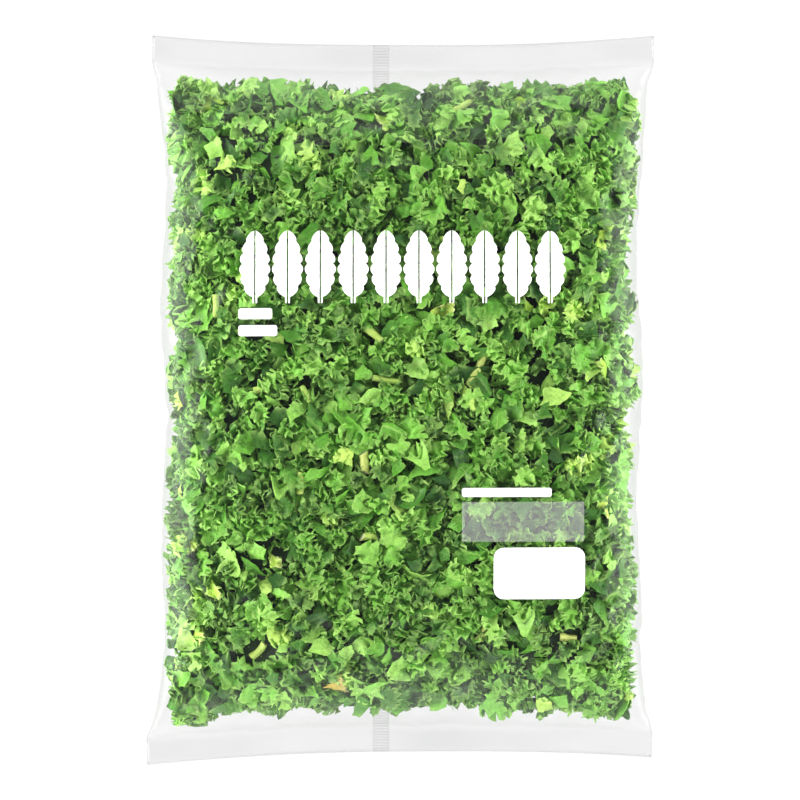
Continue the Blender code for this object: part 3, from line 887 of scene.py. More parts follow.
KALE_GREENS = (
    (0.0, "234f18"),
    (0.25, "3c7620"),
    (0.5, "5a9c2c"),
    (0.75, "78ba42"),
    (0.95, "a2d664"),
    (1.0, "c2e46a"),
)
PALE_GREENS = ((0.0, "9fce3c"), (0.5, "b5d64c"), (0.85, "c6d464"), (1.0, "c8b450"))
CORE_PAINTED_SHADE_GREENS = ((0.0, "13280c"), (1.0, "1d3a12"))
kale_material = make_leaf_material("raw curly kale leaf", KALE_GREENS, "a6d06c", 0.42)
pale_material = make_leaf_material("pale heart leaf", PALE_GREENS, "eef0b4", 0.45)
core_material = make_leaf_material("packed leaf in shade", CORE_PAINTED_SHADE_GREENS, "254418", 0.7)
print("three leaf materials, each with", len(kale_material.node_tree.nodes), "nodes")


# %% [markdown]
# The heap is made by Geometry Nodes. Points are spread over a patch of the skin no closer than a spacing,
# sunk to a random depth, and each gets one of the kinds of piece, laid along the skin and then turned and
# tilted at random. A real leaf can't pass through the film, so the points of every piece that would lie
# outside, or too close, are pressed back under the skin. That also flattens the topmost leaves against
# the film, as the photo shows. The densest spread that is asked for is far more than fits, so the spacing
# alone sets how many pieces there are. The same tree serves every patch and every layer.

# %% Press the heap back inside the film
def soft_floor(tree, value, least, softness):
    """value, but never under least: near it, the value eases into it over the softness."""
    over = add(tree, "ShaderNodeMath", {0: value, 1: least}, operation="SUBTRACT")
    squared = add(tree, "ShaderNodeMath", {0: over, 1: over}, operation="MULTIPLY")
    eased = add(tree, "ShaderNodeMath", {0: softness, 1: softness, 2: squared}, operation="MULTIPLY_ADD")
    root = add(tree, "ShaderNodeMath", {0: eased}, operation="SQRT")
    total = add(tree, "ShaderNodeMath", {0: over, 1: root}, operation="ADD")
    return add(tree, "ShaderNodeMath", {0: total, 1: 0.5, 2: least}, operation="MULTIPLY_ADD")


def press_in_length(tree, given, heap):
    """Keeps the heap off the end seals: no point lies further along the bag than the length limit."""
    limit = given["Length limit"]
    place = add(tree, "GeometryNodeInputPosition")
    axes = add(tree, "ShaderNodeSeparateXYZ", {0: place}).outputs
    off_middle = add(tree, "ShaderNodeMath", {0: axes["Y"]}, operation="ABSOLUTE")
    sign = add(tree, "ShaderNodeMath", {0: axes["Y"]}, operation="SIGN")
    room = add(tree, "ShaderNodeMath", {0: limit, 1: off_middle}, operation="SUBTRACT")
    kept_room = soft_floor(tree, room, given["Least depth"], given["Softness"])
    inside = add(tree, "ShaderNodeMath", {0: limit, 1: kept_room}, operation="SUBTRACT")
    y = add(tree, "ShaderNodeMath", {0: inside, 1: sign}, operation="MULTIPLY")
    moved = add(tree, "ShaderNodeCombineXYZ", {0: axes["X"], 1: y, 2: axes["Z"]})
    return add(tree, "GeometryNodeSetPosition", {"Geometry": heap, "Position": moved})


def press_under_skin(tree, given, heap):
    """Moves each point nearer the skin than the least depth, or outside it, along the skin's normal."""
    skin_mesh = add(tree, "GeometryNodeObjectInfo", {"Object": given["Skin"]}).outputs["Geometry"]
    place = add(tree, "GeometryNodeInputPosition")
    normal = add(tree, "GeometryNodeInputNormal")
    nearest, outward = (
        add(
            tree, "GeometryNodeSampleNearestSurface", {"Mesh": skin_mesh, "Value": field},
            data_type="FLOAT_VECTOR",
        )
        for field in (place, normal)
    )
    into = add(tree, "ShaderNodeVectorMath", {0: nearest, 1: place}, operation="SUBTRACT")
    depth = add(tree, "ShaderNodeVectorMath", {0: into, 1: outward}, operation="DOT_PRODUCT")
    wanted = soft_floor(tree, depth, given["Least depth"], given["Softness"])
    shift = add(tree, "ShaderNodeMath", {0: depth, 1: wanted}, operation="SUBTRACT")
    offset = add(tree, "ShaderNodeVectorMath", {0: outward, "Scale": shift}, operation="SCALE")
    return add(tree, "GeometryNodeSetPosition", {"Geometry": heap, "Offset": offset})


# %% The scatter tree
HEAP_INPUTS = (
    ("Patch", "Geometry"), ("Kinds", "Collection"), ("Skin", "Object"), ("Kept clear", "Object"),
    ("Clear radius", "Float"), ("Spacing", "Float"), ("Shallowest", "Float"), ("Deepest", "Float"),
    ("Tilt", "Float"), ("Least depth", "Float"), ("Softness", "Float"), ("Length limit", "Float"),
    ("Scale", "Float"), ("Lightest tint (painted depth shade)", "Float"), ("Seed", "Int"), ("Leaf", "Material"),
)
MOST_DENSE = 250000
DEPTH_SEED, TURN_SEED, SIZE_SEED, TINT_SEED = 1, 2, 3, 4
SIZE_RANGE = (0.8, 1.15)


def scatter_tree():
    tree, given = new_tree("heap of cut leaf", HEAP_INPUTS, "Heap")
    spread = add(
        tree, "GeometryNodeDistributePointsOnFaces",
        {
            "Mesh": given["Patch"], "Distance Min": given["Spacing"],
            "Density Max": MOST_DENSE, "Seed": given["Seed"],
        },
        distribute_method="POISSON",
    )
    depth = add(
        tree, "FunctionNodeRandomValue",
        {RANDOM_LEAST: given["Shallowest"], RANDOM_MOST: given["Deepest"], "Seed": DEPTH_SEED},
    )
    down = add(tree, "ShaderNodeMath", {0: depth, 1: -1}, operation="MULTIPLY")
    sink = add(
        tree, "ShaderNodeVectorMath", {0: spread.outputs["Normal"], "Scale": down}, operation="SCALE"
    )
    sunk = add(tree, "GeometryNodeSetPosition", {"Geometry": spread, "Offset": sink})
    clear = add(tree, "GeometryNodeObjectInfo", {"Object": given["Kept clear"]}).outputs["Geometry"]
    to_clear = add(tree, "GeometryNodeProximity", {0: clear}, target_element="POINTS").outputs["Distance"]
    too_near = add(tree, "ShaderNodeMath", {0: to_clear, 1: given["Clear radius"]}, operation="LESS_THAN")
    kept = add(
        tree, "GeometryNodeDeleteGeometry", {"Geometry": sunk, "Selection": too_near}, domain="POINT"
    )
    low = add(tree, "ShaderNodeMath", {0: given["Tilt"], 1: -1}, operation="MULTIPLY")
    least = add(tree, "ShaderNodeCombineXYZ", {0: low, 1: low, 2: -math.pi})
    most = add(tree, "ShaderNodeCombineXYZ", {0: given["Tilt"], 1: given["Tilt"], 2: math.pi})
    turn = add(
        tree, "FunctionNodeRandomValue", {"Min": least, "Max": most, "Seed": TURN_SEED},
        data_type="FLOAT_VECTOR",
    )
    rotation = add(tree, "FunctionNodeEulerToRotation", {0: turn})
    laid = add(
        tree, "FunctionNodeRotateRotation", {0: spread.outputs["Rotation"], 1: rotation},
        rotation_space="LOCAL",
    )
    pieces = add(
        tree, "GeometryNodeCollectionInfo",
        {"Collection": given["Kinds"], "Separate Children": True, "Reset Children": True},
    )
    size = add(
        tree, "FunctionNodeRandomValue",
        {RANDOM_LEAST: SIZE_RANGE[0], RANDOM_MOST: SIZE_RANGE[1], "Seed": SIZE_SEED},
    )
    scale = add(tree, "ShaderNodeMath", {0: size, 1: given["Scale"]}, operation="MULTIPLY")
    placed = add(
        tree, "GeometryNodeInstanceOnPoints",
        {"Points": kept, "Instance": pieces, "Pick Instance": True, "Rotation": laid, "Scale": scale},
    )
    # Each piece's tint is drawn up to the layer's lightest, which is lower in the deeper layers, so those
    # pieces are darker: a painted shade by depth.
    tint = add(
        tree, "FunctionNodeRandomValue",
        {RANDOM_LEAST: 0, RANDOM_MOST: given["Lightest tint (painted depth shade)"], "Seed": TINT_SEED},
    )
    tinted = add(
        tree, "GeometryNodeStoreNamedAttribute", {"Geometry": placed, "Name": "tint", "Value": tint},
        data_type="FLOAT", domain="INSTANCE",
    )
    real = add(tree, "GeometryNodeRealizeInstances", {0: tinted})
    pressed = press_under_skin(tree, given, press_in_length(tree, given, real))
    finished = add(tree, "GeometryNodeSetMaterial", {"Geometry": pressed, "Material": given["Leaf"]})
    add(tree, "NodeGroupOutput", {0: finished})
    return tree


heap_tree = scatter_tree()
print("scatter tree:", len(heap_tree.nodes), "nodes")


# %% [markdown]
# The skin is divided into patches, because one mesh of the whole heap would be too large to handle. The
# front is what the photo shows, so it gets three layers: pieces pressed flat against the film, pieces
# behind them at more of an angle, and a deeper layer seen only through the gaps. The back gets two. The
# heap's edge is lumpy, so the room between it and the film's side folds and end seals varies.

# %% Patches of the skin
HEAP_REACH = 0.945
FLAT_HALF_WIDTH = 118 * MM
SIDE_ROOM = 4.2 * MM
SIDE_LUMP = 6.5 * MM
END_ROOM = 0.6 * MM
END_LUMP = 5.5 * MM
LUMP_LENGTH = 20 * MM
END_START = 0.8
CORNER_START = 0.82
END_EASE = 0.15
CORNER_ROUND = 0.04
SIDE_NOISE_PLACE, END_NOISE_PLACE = 9, 5
PATCH_STATIONS = 13
PATCH_SHARES = {"front": (-0.262, 0.262, 61), "back": (0.262, 0.738, 51)}


def side_room(y, side):
    """The gap between the heap's edge and the film's side fold at y."""
    return SIDE_ROOM + SIDE_LUMP * noise.noise(Vector((SIDE_NOISE_PLACE * side, y / LUMP_LENGTH, 0)))


def end_room(x, end):
    """The gap between the heap's edge and an end seal at x."""
    return END_ROOM + END_LUMP * noise.noise(Vector((x / LUMP_LENGTH, END_NOISE_PLACE * end, 0)))


def patch_of_skin(side, lowest, highest):
    """The smooth skin between two stations, on the side that looks up or on the one that looks down."""
    shares = np.linspace(*PATCH_SHARES[side])
    points = []
    for s in np.linspace(lowest, highest, PATCH_STATIONS):
        x, z = section(s, shares % 1)
        y = station_y(x, s)
        end = np.sign(s)
        y -= end * smooth((abs(s) - END_START) / END_EASE) * np.array([end_room(px, end) for px in x])
        room = np.array([side_room(py, math.copysign(1, px)) for px, py in zip(x, y)])
        x *= 1 - room / FLAT_HALF_WIDTH - CORNER_ROUND * smooth((abs(s) - CORNER_START) / END_EASE)
        points += zip(x.tolist(), y.tolist(), z.tolist())
    return link(new_object("patch", points, grid_faces(PATCH_STATIONS, len(shares))))


# %% Pale pieces' places, kept clear of green leaf
CLEAR_DEPTH = 2
PALE_NODES = sorted(n for n in frame["nodes"] if n.startswith("pale_leaf"))
STEM_NODES = sorted(n for n in frame["nodes"] if n.startswith("stem_piece"))


def node_points(node):
    return np.array([v.co for v in frame["nodes"][node].data.vertices])


def places_kept_clear():
    """One loose point just under the skin above each pale leaf and stem piece."""
    points = []
    for node in [*PALE_NODES, *STEM_NODES]:
        near, normal, *_ = skin_search.find_nearest(Vector(node_points(node).mean(0)))
        points.append(near - normal * CLEAR_DEPTH * MM)
    return link(new_object("kept_clear", points, []))


kept_clear = places_kept_clear()
print("places kept clear:", len(kept_clear.data.vertices))


# %% Fill each patch
FRONT_PATCHES = 6
BACK_PATCHES = 4
LEAF_WALL = 0.35 * MM
LEAF_SHARP_ANGLE = math.radians(62)
LENGTH_LIMIT = 163.2 * MM
LEAST_DEPTH = 0.5 * MM
PRESS_SOFTNESS = 0.7 * MM
# The deeper layers' lightest tint is lower, which paints them darker: painted shade on top of the real
# shadow between the layers.
LAYERS = {
    # kinds, spacing, shallowest, deepest, tilt in degrees, clear radius, scale, lightest; lengths in mm
    "top": (fine_kinds, 7.0, 0.8, 5.5, 38, 5.4, 1.1, 1.0),
    "middle": (fine_kinds, 7.2, 5.0, 10.5, 50, 0, 1.05, 0.8),
    "deep": (coarse_kinds, 6.5, 10.0, 16.5, 48, 0, 1.25, 0.45),
    "outer": (coarse_kinds, 7.0, 0.8, 5.5, 36, 4.6, 1.0, 1.0),
    "inner": (coarse_kinds, 7.6, 5.5, 12.0, 48, 0, 1.15, 0.7),
}


def scatter(patch, name, layer, seed):
    kinds, spacing, shallowest, deepest, tilt, clear_radius, scale, lightest = LAYERS[layer]
    run_tree(patch, heap_tree, {
        "Kinds": kinds, "Skin": skin, "Kept clear": kept_clear, "Clear radius": clear_radius * MM,
        "Spacing": spacing * MM, "Shallowest": shallowest * MM, "Deepest": deepest * MM,
        "Tilt": math.radians(tilt), "Least depth": LEAST_DEPTH, "Softness": PRESS_SOFTNESS,
        "Length limit": LENGTH_LIMIT, "Scale": scale, "Lightest tint (painted depth shade)": lightest, "Seed": seed,
        "Leaf": kale_material,
    })
    heap = give_wall(patch, name, LEAF_WALL)
    heap.data.set_sharp_from_angle(angle=LEAF_SHARP_ANGLE)
    return dress(heap, kale_material, "cut_leaf_heap")


def fill_side(side, count, layers):
    made = []
    edges = np.linspace(-HEAP_REACH, HEAP_REACH, count + 1)
    for number, (lowest, highest) in enumerate(zip(edges, edges[1:]), 1):
        for layer in layers:
            seed = 100 * number + 10 * len(made) + len(layer)
            patch = patch_of_skin(side, lowest, highest)
            made.append(scatter(patch, f"cut_leaf_{side}_{layer}_{number}", layer, seed))
    return made


heaps = fill_side("front", FRONT_PATCHES, ("top", "middle", "deep"))
heaps += fill_side("back", BACK_PATCHES, ("outer", "inner"))
sizes = [triangles(heap) for heap in heaps]
print(len(heaps), "heaps,", sum(sizes), "triangles in all, largest", max(sizes))


# %% [markdown]
# Under the loose pieces the leaf is packed too tightly to see into. A lumpy core stands for it, so that
# light doesn't pass through the gaps from the other side of the bag. Its greens are near black, painted
# shade for the depth of the heap.

# %% The imported middle of the heap
CORE_DEPTH = 17 * MM
CORE_REACH = 0.78
CORE_THINNING, THINNING_POWER = 0.25, 3
CORE_LUMP = 1.6 * MM
CORE_LUMP_SIZE = 6 * MM
CORE_STATIONS = 54
CORE_COLUMNS = 90


def build_core():
    points = []
    for s in np.linspace(-CORE_REACH, CORE_REACH, CORE_STATIONS):
        x, z = section(s, np.arange(CORE_COLUMNS) / CORE_COLUMNS)
        middle = z.mean()
        for px, pz in zip(x, z):
            inward = Vector((-px, middle - pz))
            inward.normalize()
            place = Vector((px, station_y(px, s), pz))
            lump = CORE_LUMP * noise.noise(place / CORE_LUMP_SIZE)
            depth = CORE_DEPTH * (1 - CORE_THINNING * abs(s) ** THINNING_POWER) + lump
            points.append((px + inward.x * depth, place.y, pz + inward.y * depth))
    faces = grid_faces(CORE_STATIONS, CORE_COLUMNS, closed=True)
    faces += end_caps(CORE_STATIONS, CORE_COLUMNS)
    core = link(new_object("packed_core", points, faces))
    return dress(core, core_material, "cut_leaf_heap")


core = build_core()
print("core:", triangles(core), "triangles")


# %% [markdown]
# Pale pieces from the heart of the plant lie among the green ones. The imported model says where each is
# and how it is turned: the directions in which its points spread give its length, its width and its face.
# A finer piece is drawn to that size, laid in that place and pressed under the skin like the rest.

# %% Lay a piece on its node
def spread_of(node):
    """A CAD node's middle, its three directions from the longest to the shortest, and its half extents."""
    points = node_points(node)
    middle = points.mean(0)
    directions = np.linalg.svd(points - middle, full_matrices=False)[2]
    if np.linalg.det(directions) < 0:
        directions[2] *= -1
    extents = np.ptp((points - middle) @ directions.T, axis=0) / 2
    return Vector(middle), [Vector(d) for d in directions], extents


def press_point(point):
    """The same soft press under the skin as the scatter tree gives."""
    near, normal, *_ = skin_search.find_nearest(point)
    depth = (near - point).dot(normal)
    over = depth - LEAST_DEPTH
    wanted = LEAST_DEPTH + 0.5 * (over + math.hypot(over, PRESS_SOFTNESS))
    return point - normal * (wanted - depth)


def lay_in_place(piece, node):
    """Moves a piece drawn round the origin onto its CAD node, with its thin way along the node's."""
    middle, directions, _ = spread_of(node)
    turn = Matrix([list(d) for d in directions]).transposed()
    for v in piece.data.vertices:
        v.co = press_point(turn @ v.co + middle)


# %% Pale leaf pieces
PALE_TINTS = {"pale_leaf_06": 1.0, "pale_leaf_07": 0.1, "pale_leaf_08": 0.0, "pale_leaf_09": 0.2}
USUAL_PALE_TINT = 0.6
PALE_SIZE = 1.05
PALE_CORNERS = 6
PALE_OWN_SIDES = 2
PALE_FRILL = 0.25
PALE_STEP = 1.0


def build_pale_leaf(node, rng):
    extents = spread_of(node)[2]
    radius = float(extents[0] + extents[1]) / 2 / MM * PALE_SIZE
    piece = link(make_piece(node, rng, radius, PALE_CORNERS, PALE_OWN_SIDES, PALE_FRILL, PALE_STEP))
    lay_in_place(piece, node)
    store(piece, "tint", PALE_TINTS.get(node, USUAL_PALE_TINT * rng.random()))
    return dress(give_wall(piece, "fine_" + node, LEAF_WALL), pale_material, node)


rng = random.Random(SEED + 1)
pale_leaves = [build_pale_leaf(node, rng) for node in PALE_NODES]
print(len(pale_leaves), "pale leaf pieces")


# %% [markdown]
# A chunk of kale stem is juicy and pale green, rounded below with a shallow groove above, with fine ribs
# along it. The knife leaves flat wet ends, which show the whiter pith. A profile swept along a slight
# bend gives the shape, and a value stored on the end points tells the material where the pith is.

# %% Material: kale stem with cut ends
STEM_GREENS = ("a0c850", "c2dc72")
STEM_YELLOW = "d6d67c"
PITH = "e6e8b6"
STEM_MOTTLE_SIZE = 3 * MM
STEM_RIB_DEPTH = 0.15 * MM


def make_stem_material():
    material, tree = new_material("raw kale stem")
    place = add(tree, "ShaderNodeTexCoord").outputs["Object"]
    around = add(tree, "ShaderNodeUVMap", uv_map="leaf_map")
    lines = add(
        tree, "ShaderNodeTexWave", {"Vector": around, "Scale": 3.0, "Distortion": 1.5}, bands_direction="X"
    )
    mottle = add(tree, "ShaderNodeTexNoise", {"Vector": place, "Scale": 1 / STEM_MOTTLE_SIZE, "Detail": 3})
    shown = colour(STEM_GREENS[0])
    tint, cut = (add(tree, "ShaderNodeAttribute", attribute_name=a).outputs["Fac"] for a in ("tint", "cut"))
    for share, hex_value in ((mottle, STEM_GREENS[1]), (tint, STEM_YELLOW), (cut, PITH)):
        shown = add(
            tree, "ShaderNodeMix", {"Factor": share, MIX_FIRST: shown, MIX_SECOND: colour(hex_value)},
            data_type="RGBA",
        )
    bump = add(
        tree, "ShaderNodeBump",
        {"Height": lines.outputs["Fac"], "Strength": 0.3, "Distance": STEM_RIB_DEPTH},
    )
    shader = add(
        tree, "ShaderNodeBsdfPrincipled",
        {"Base Color": shown, "Roughness": 0.35, "IOR": 1.4, "Normal": bump},
    )
    add(tree, "ShaderNodeOutputMaterial", {"Surface": shader})
    return material


stem_material = make_stem_material()
print(stem_material.name, "with", len(stem_material.node_tree.nodes), "nodes")


# %% Stem pieces
STEM_TINTS = {"stem_piece_01": 0.6, "stem_piece_04": 0.5, "stem_piece_09": 0.7, "stem_piece_10": 0.7}
USUAL_STEM_TINT = 0.2
STEM_SIDES = 22
STEM_RINGS = 9
STEM_BEND = 1.0 * MM
STEM_TAPER = (0.08, 0.3)
KNIFE_SLANT = 0.7
STEM_SWELLING = 0.22
GROOVE_DEPTH, GROOVE_WIDTH = 0.2, 0.5
RIB_COUNT, RIB_RISE = 7, 0.025
SWELLING_PITCH = 1.4
BODY_REACH, LENGTH_SHARE = 0.96, 0.97
CUT_FACE, CUT_EDGE = 0.86, 0.98
STEM_SHARP_ANGLE = math.radians(50)


def stem_points(node, rng):
    """The rings of a stem chunk along X, and how many there are. The outer two at each end round it off."""
    half_length, *thin = (float(extent) for extent in spread_of(node)[2])
    radius = sum(thin) / 2
    bend = rng.uniform(-STEM_BEND, STEM_BEND)
    taper = rng.uniform(*STEM_TAPER)
    knife = rng.uniform(-KNIFE_SLANT, KNIFE_SLANT)
    offset = Vector([rng.uniform(0, NOISE_SPAN) for _ in range(3)])
    middle = [(t, 1 - taper * (1 + t) / 2) for t in np.linspace(-BODY_REACH, BODY_REACH, STEM_RINGS)]
    first, last = [(-1, CUT_FACE), (-1, CUT_EDGE)], [(1, CUT_EDGE - taper), (1, CUT_FACE - taper)]
    rings = [*first, *middle, *last]
    points = []
    for along, swell in rings:
        for i in range(STEM_SIDES):
            angle = math.tau * i / STEM_SIDES
            groove = 1 - GROOVE_DEPTH * math.exp(-(((angle - math.pi / 2) / GROOVE_WIDTH) ** 2))
            rib = 1 + RIB_RISE * math.cos(RIB_COUNT * angle)
            place = Vector((SWELLING_PITCH * along, math.cos(angle), math.sin(angle))) + offset
            reach = radius * swell * groove * rib * (1 + STEM_SWELLING * noise.noise(place))
            slant = knife * reach * math.cos(angle) * along
            across = reach * math.cos(angle) + bend * (1 - along**2)
            points.append((along * half_length * LENGTH_SHARE + slant, across, reach * math.sin(angle)))
    return points, len(rings)


def turn_faces_out(mesh):
    bm = bmesh.new()
    bm.from_mesh(mesh)
    bmesh.ops.recalc_face_normals(bm, faces=bm.faces)
    bm.to_mesh(mesh)
    bm.free()


def build_stem(node, rng):
    points, rings = stem_points(node, rng)
    first_cap, last_cap = end_caps(rings, STEM_SIDES)
    faces = [first_cap, *grid_faces(rings, STEM_SIDES, closed=True), last_cap]
    stem = link(new_object("fine_" + node, points, faces, smooth=False))
    turn_faces_out(stem.data)
    store(stem, "cut", [float(i in first_cap or i in last_cap) for i in range(len(points))])
    around = stem.data.uv_layers.new(name="leaf_map")
    for loop in stem.data.loops:
        ring, side = divmod(loop.vertex_index, STEM_SIDES)
        around.data[loop.index].uv = (side / STEM_SIDES * 2, ring / rings)
    stem.data.shade_smooth()
    stem.data.set_sharp_from_angle(angle=STEM_SHARP_ANGLE)
    lay_in_place(stem, node)
    store(stem, "tint", STEM_TINTS.get(node, USUAL_STEM_TINT * rng.random()))
    return dress(stem, stem_material, node)


rng = random.Random(SEED + 2)
stems = [build_stem(node, rng) for node in STEM_NODES]
print(len(stems), "stem pieces")


# %% [markdown]
# The film's two long edges lap on the back, a little left of the middle, and heated rollers press ribs
# across the lap. It shows through the clear film above and below the heap. The strip follows the skin,
# and a small node tree sets one rib after another along its line. The lap and its ribs lie over film that
# already stops its share of the light, so each is given a weld value that sets how much it adds.

# %% Lap seam on the back
LAP_CENTRE = -9.75 * MM
LAP_WIDTH = 8.3 * MM
LAP_WALL = 0.06 * MM
LAP_ROWS = 180
LAP_COLUMNS = 4
LAP_DROP = 0.1 * MM
LAP_END_GAP = 0.3 * MM
LAP_LEAST_HEIGHT = 0.2 * MM
LAP_WELD = -0.6
FAR_OUTSIDE = 200 * MM


def height_on_skin(x, y, above=True):
    """The film's height at x, y: of the front from above, or of the back from below."""
    side = 1 if above else -1
    return skin_search.ray_cast(Vector((x, y, side * FAR_OUTSIDE)), Vector((0, 0, -side)))[0].z


def lap_line(x):
    """Points down the lap at x, from one cut edge to the other, just under the back film."""
    bottom, top = float(-end_reach(x, -1)) + LAP_END_GAP, float(end_reach(x, 1)) - LAP_END_GAP
    line = []
    for y in np.linspace(bottom, top, LAP_ROWS + 1).tolist():
        line.append(Vector((x, y, max(height_on_skin(x, y, above=False) - LAP_DROP, LAP_LEAST_HEIGHT))))
    return line


def build_lap():
    across = np.linspace(LAP_CENTRE - LAP_WIDTH / 2, LAP_CENTRE + LAP_WIDTH / 2, LAP_COLUMNS + 1)
    points = [p for x in across.tolist() for p in lap_line(x)]
    lap = link(new_object("lap", points, grid_faces(LAP_COLUMNS + 1, LAP_ROWS + 1)))
    store(lap, "weld", LAP_WELD)
    return dress(give_wall(lap, "film_lap_seam", LAP_WALL), film_material, "bag_film")


lap = build_lap()
print("lap seam:", triangles(lap), "triangles")

# %% Ribs pressed across the lap
RIB_PITCH = 1.5 * MM
RIB_WIDTH = 0.7 * MM
RIB_HEIGHT = 0.13 * MM
RIB_LENGTH_SHARE = 0.94
RIB_DROP = 0.05 * MM
RIB_WELD = 0.2
HALF_ROUND = [(-0.5, 0), (-0.3, -0.75), (0, -1), (0.3, -0.75), (0.5, 0)]
SEAM_INPUTS = (("Line", "Geometry"), ("Rib", "Object"), ("Pitch", "Float"), ("Film", "Material"))


def rib_tree():
    """Sets a rib at every pitch along the mesh line that it is given, turned to run across it."""
    tree, given = new_tree("ribs along a seam", SEAM_INPUTS, "Ribs")
    curve = add(tree, "GeometryNodeMeshToCurve", {0: given["Line"]})
    spots = add(tree, "GeometryNodeCurveToPoints", {0: curve, "Length": given["Pitch"]}, mode="LENGTH")
    turn = add(
        tree, "FunctionNodeAlignRotationToVector", {"Vector": spots.outputs["Tangent"]},
        axis="Y", pivot_axis="X",
    )
    rib = add(tree, "GeometryNodeObjectInfo", {"Object": given["Rib"]}).outputs["Geometry"]
    placed = add(
        tree, "GeometryNodeInstanceOnPoints", {"Points": spots, "Instance": rib, "Rotation": turn}
    )
    real = add(tree, "GeometryNodeRealizeInstances", {0: placed})
    finished = add(tree, "GeometryNodeSetMaterial", {"Geometry": real, "Material": given["Film"]})
    add(tree, "NodeGroupOutput", {0: finished})
    return tree


def build_ribs():
    """Half-round ribs, each a bar of five sides."""
    points = []
    for x in (-LAP_WIDTH / 2, LAP_WIDTH / 2):
        points += [(x * RIB_LENGTH_SHARE, y * RIB_WIDTH, z * RIB_HEIGHT) for y, z in HALF_ROUND]
    faces = [*grid_faces(2, len(HALF_ROUND), closed=True), *end_caps(2, len(HALF_ROUND))]
    rib = link(new_object("rib", points, faces, smooth=False))
    line = [p - Vector((0, 0, RIB_DROP)) for p in lap_line(LAP_CENTRE)]
    seam = link(new_object("seam line", line, [], [(i, i + 1) for i in range(LAP_ROWS)]))
    run_tree(seam, rib_tree(), {"Rib": rib, "Pitch": RIB_PITCH, "Film": film_material})
    ribs = keep_mesh(seam, "film_lap_ribs")
    bpy.data.objects.remove(rib, do_unlink=True)
    store(ribs, "weld", RIB_WELD)
    return dress(ribs, film_material, "bag_film")


ribs = build_ribs()
print("ribs:", triangles(ribs), "triangles")


# %% [markdown]
# The front is printed in one white ink. Words and marks are left off this part. In the place of the large
# title stands a row of plain leaf shapes of the same height and colour, and plain bars hold the places of
# the small lines. A pale see-through panel and a blank white label with round corners complete it. Each
# is a thin skin that follows the film, so it bends over every wrinkle.

# %% Materials: white printing ink, and a thin wash of it
INK_GRAIN = 1.2 * MM
INK_WHITES = ("fbfbfa", "f3f5f2")
INK_RELIEF = 0.05 * MM


def make_ink_material(name, alpha):
    material, tree = new_material(name)
    place = add(tree, "ShaderNodeTexCoord").outputs["Object"]
    grain = add(tree, "ShaderNodeTexNoise", {"Vector": place, "Scale": 1 / INK_GRAIN, "Detail": 2})
    tone = add(
        tree, "ShaderNodeMix",
        {"Factor": grain, MIX_FIRST: colour(INK_WHITES[0]), MIX_SECOND: colour(INK_WHITES[1])},
        data_type="RGBA",
    )
    bump = add(tree, "ShaderNodeBump", {"Height": grain, "Strength": 0.1, "Distance": INK_RELIEF})
    shader = add(
        tree, "ShaderNodeBsdfPrincipled",
        {"Base Color": tone, "Roughness": 0.35, "Alpha": alpha, "Normal": bump},
    )
    add(tree, "ShaderNodeOutputMaterial", {"Surface": shader})
    return material


ink = make_ink_material("white flexographic ink", 1.0)
ink_wash = make_ink_material("thin wash of white ink", 0.085)


# %% Outlines of the printing, from places in the photo
FRONT_PIXEL = 0.4865 * MM
CENTRE_PIXEL = (400.5, 400)
ARC_STEPS = 6
LEAF_GAP = 0.4 * MM
LEAF_STALK = 1.1 * MM
STALK_SHARE = 0.08
LEAF_STEPS, STALK_STEPS = 48, 4
BLADE_SKEW, BLADE_POWER = 0.85, 0.55
LOBES = 6
LOBE_DEPTH, LOBE_POWER = 0.2, 1.5
RIB_POINTS = (0.8, 0.6, 0.4, 0.2)


def on_bag(px, py):
    """A place in the photo, in pixels, as x and y on the bag's front, which is nearer to the camera."""
    return Vector(((px - CENTRE_PIXEL[0]) * FRONT_PIXEL, (CENTRE_PIXEL[1] - py) * FRONT_PIXEL))


def rounded_box(box, radius):
    """The outline of a box with round corners, from its pixels, anticlockwise."""
    a, b = on_bag(box[0], box[3]), on_bag(box[2], box[1])
    middle = (a + b) / 2
    outline = []
    for x, y, start_angle in ((b.x, a.y, -90), (b.x, b.y, 0), (a.x, b.y, 90), (a.x, a.y, 180)):
        inner = Vector((x - math.copysign(radius, x - middle.x), y - math.copysign(radius, y - middle.y)))
        for i in range(ARC_STEPS + 1):
            angle = math.radians(start_angle + 90 / ARC_STEPS * i)
            outline.append(inner + radius * Vector((math.cos(angle), math.sin(angle))))
    return outline


def leaf_halves(left, right, bottom, top):
    """A plain upright leaf with a lobed margin and a stalk, as two halves with a narrow gap for its rib."""
    middle = (left + right) / 2
    wide = (right - left) / 2
    tall = top - bottom
    halves = []
    for side in (1, -1):
        outline = [Vector((middle + side * reach, bottom)) for reach in (LEAF_GAP, LEAF_STALK)]
        for i in range(STALK_STEPS, LEAF_STEPS + 1):
            t = i / LEAF_STEPS
            blade = (t - STALK_SHARE) / (1 - STALK_SHARE)
            swell = math.sin(math.pi * max(blade, 0) ** BLADE_SKEW) ** BLADE_POWER if t < 1 else 0
            lobe = 1 - LOBE_DEPTH * (1 - abs(math.sin(LOBES * math.pi * blade))) ** LOBE_POWER
            least = LEAF_STALK if t < 0.5 else LEAF_GAP
            reach = max(LEAF_GAP + (wide - LEAF_GAP) * swell * lobe, least)
            outline.append(Vector((middle + side * reach, bottom + tall * t)))
        outline += [Vector((middle + side * LEAF_GAP, bottom + tall * t)) for t in RIB_POINTS]
        halves.append(outline if side > 0 else outline[::-1])
    return halves


# %% Print the shapes on the film
INK_WALL = 0.04 * MM
INK_LIFT = 0.05 * MM


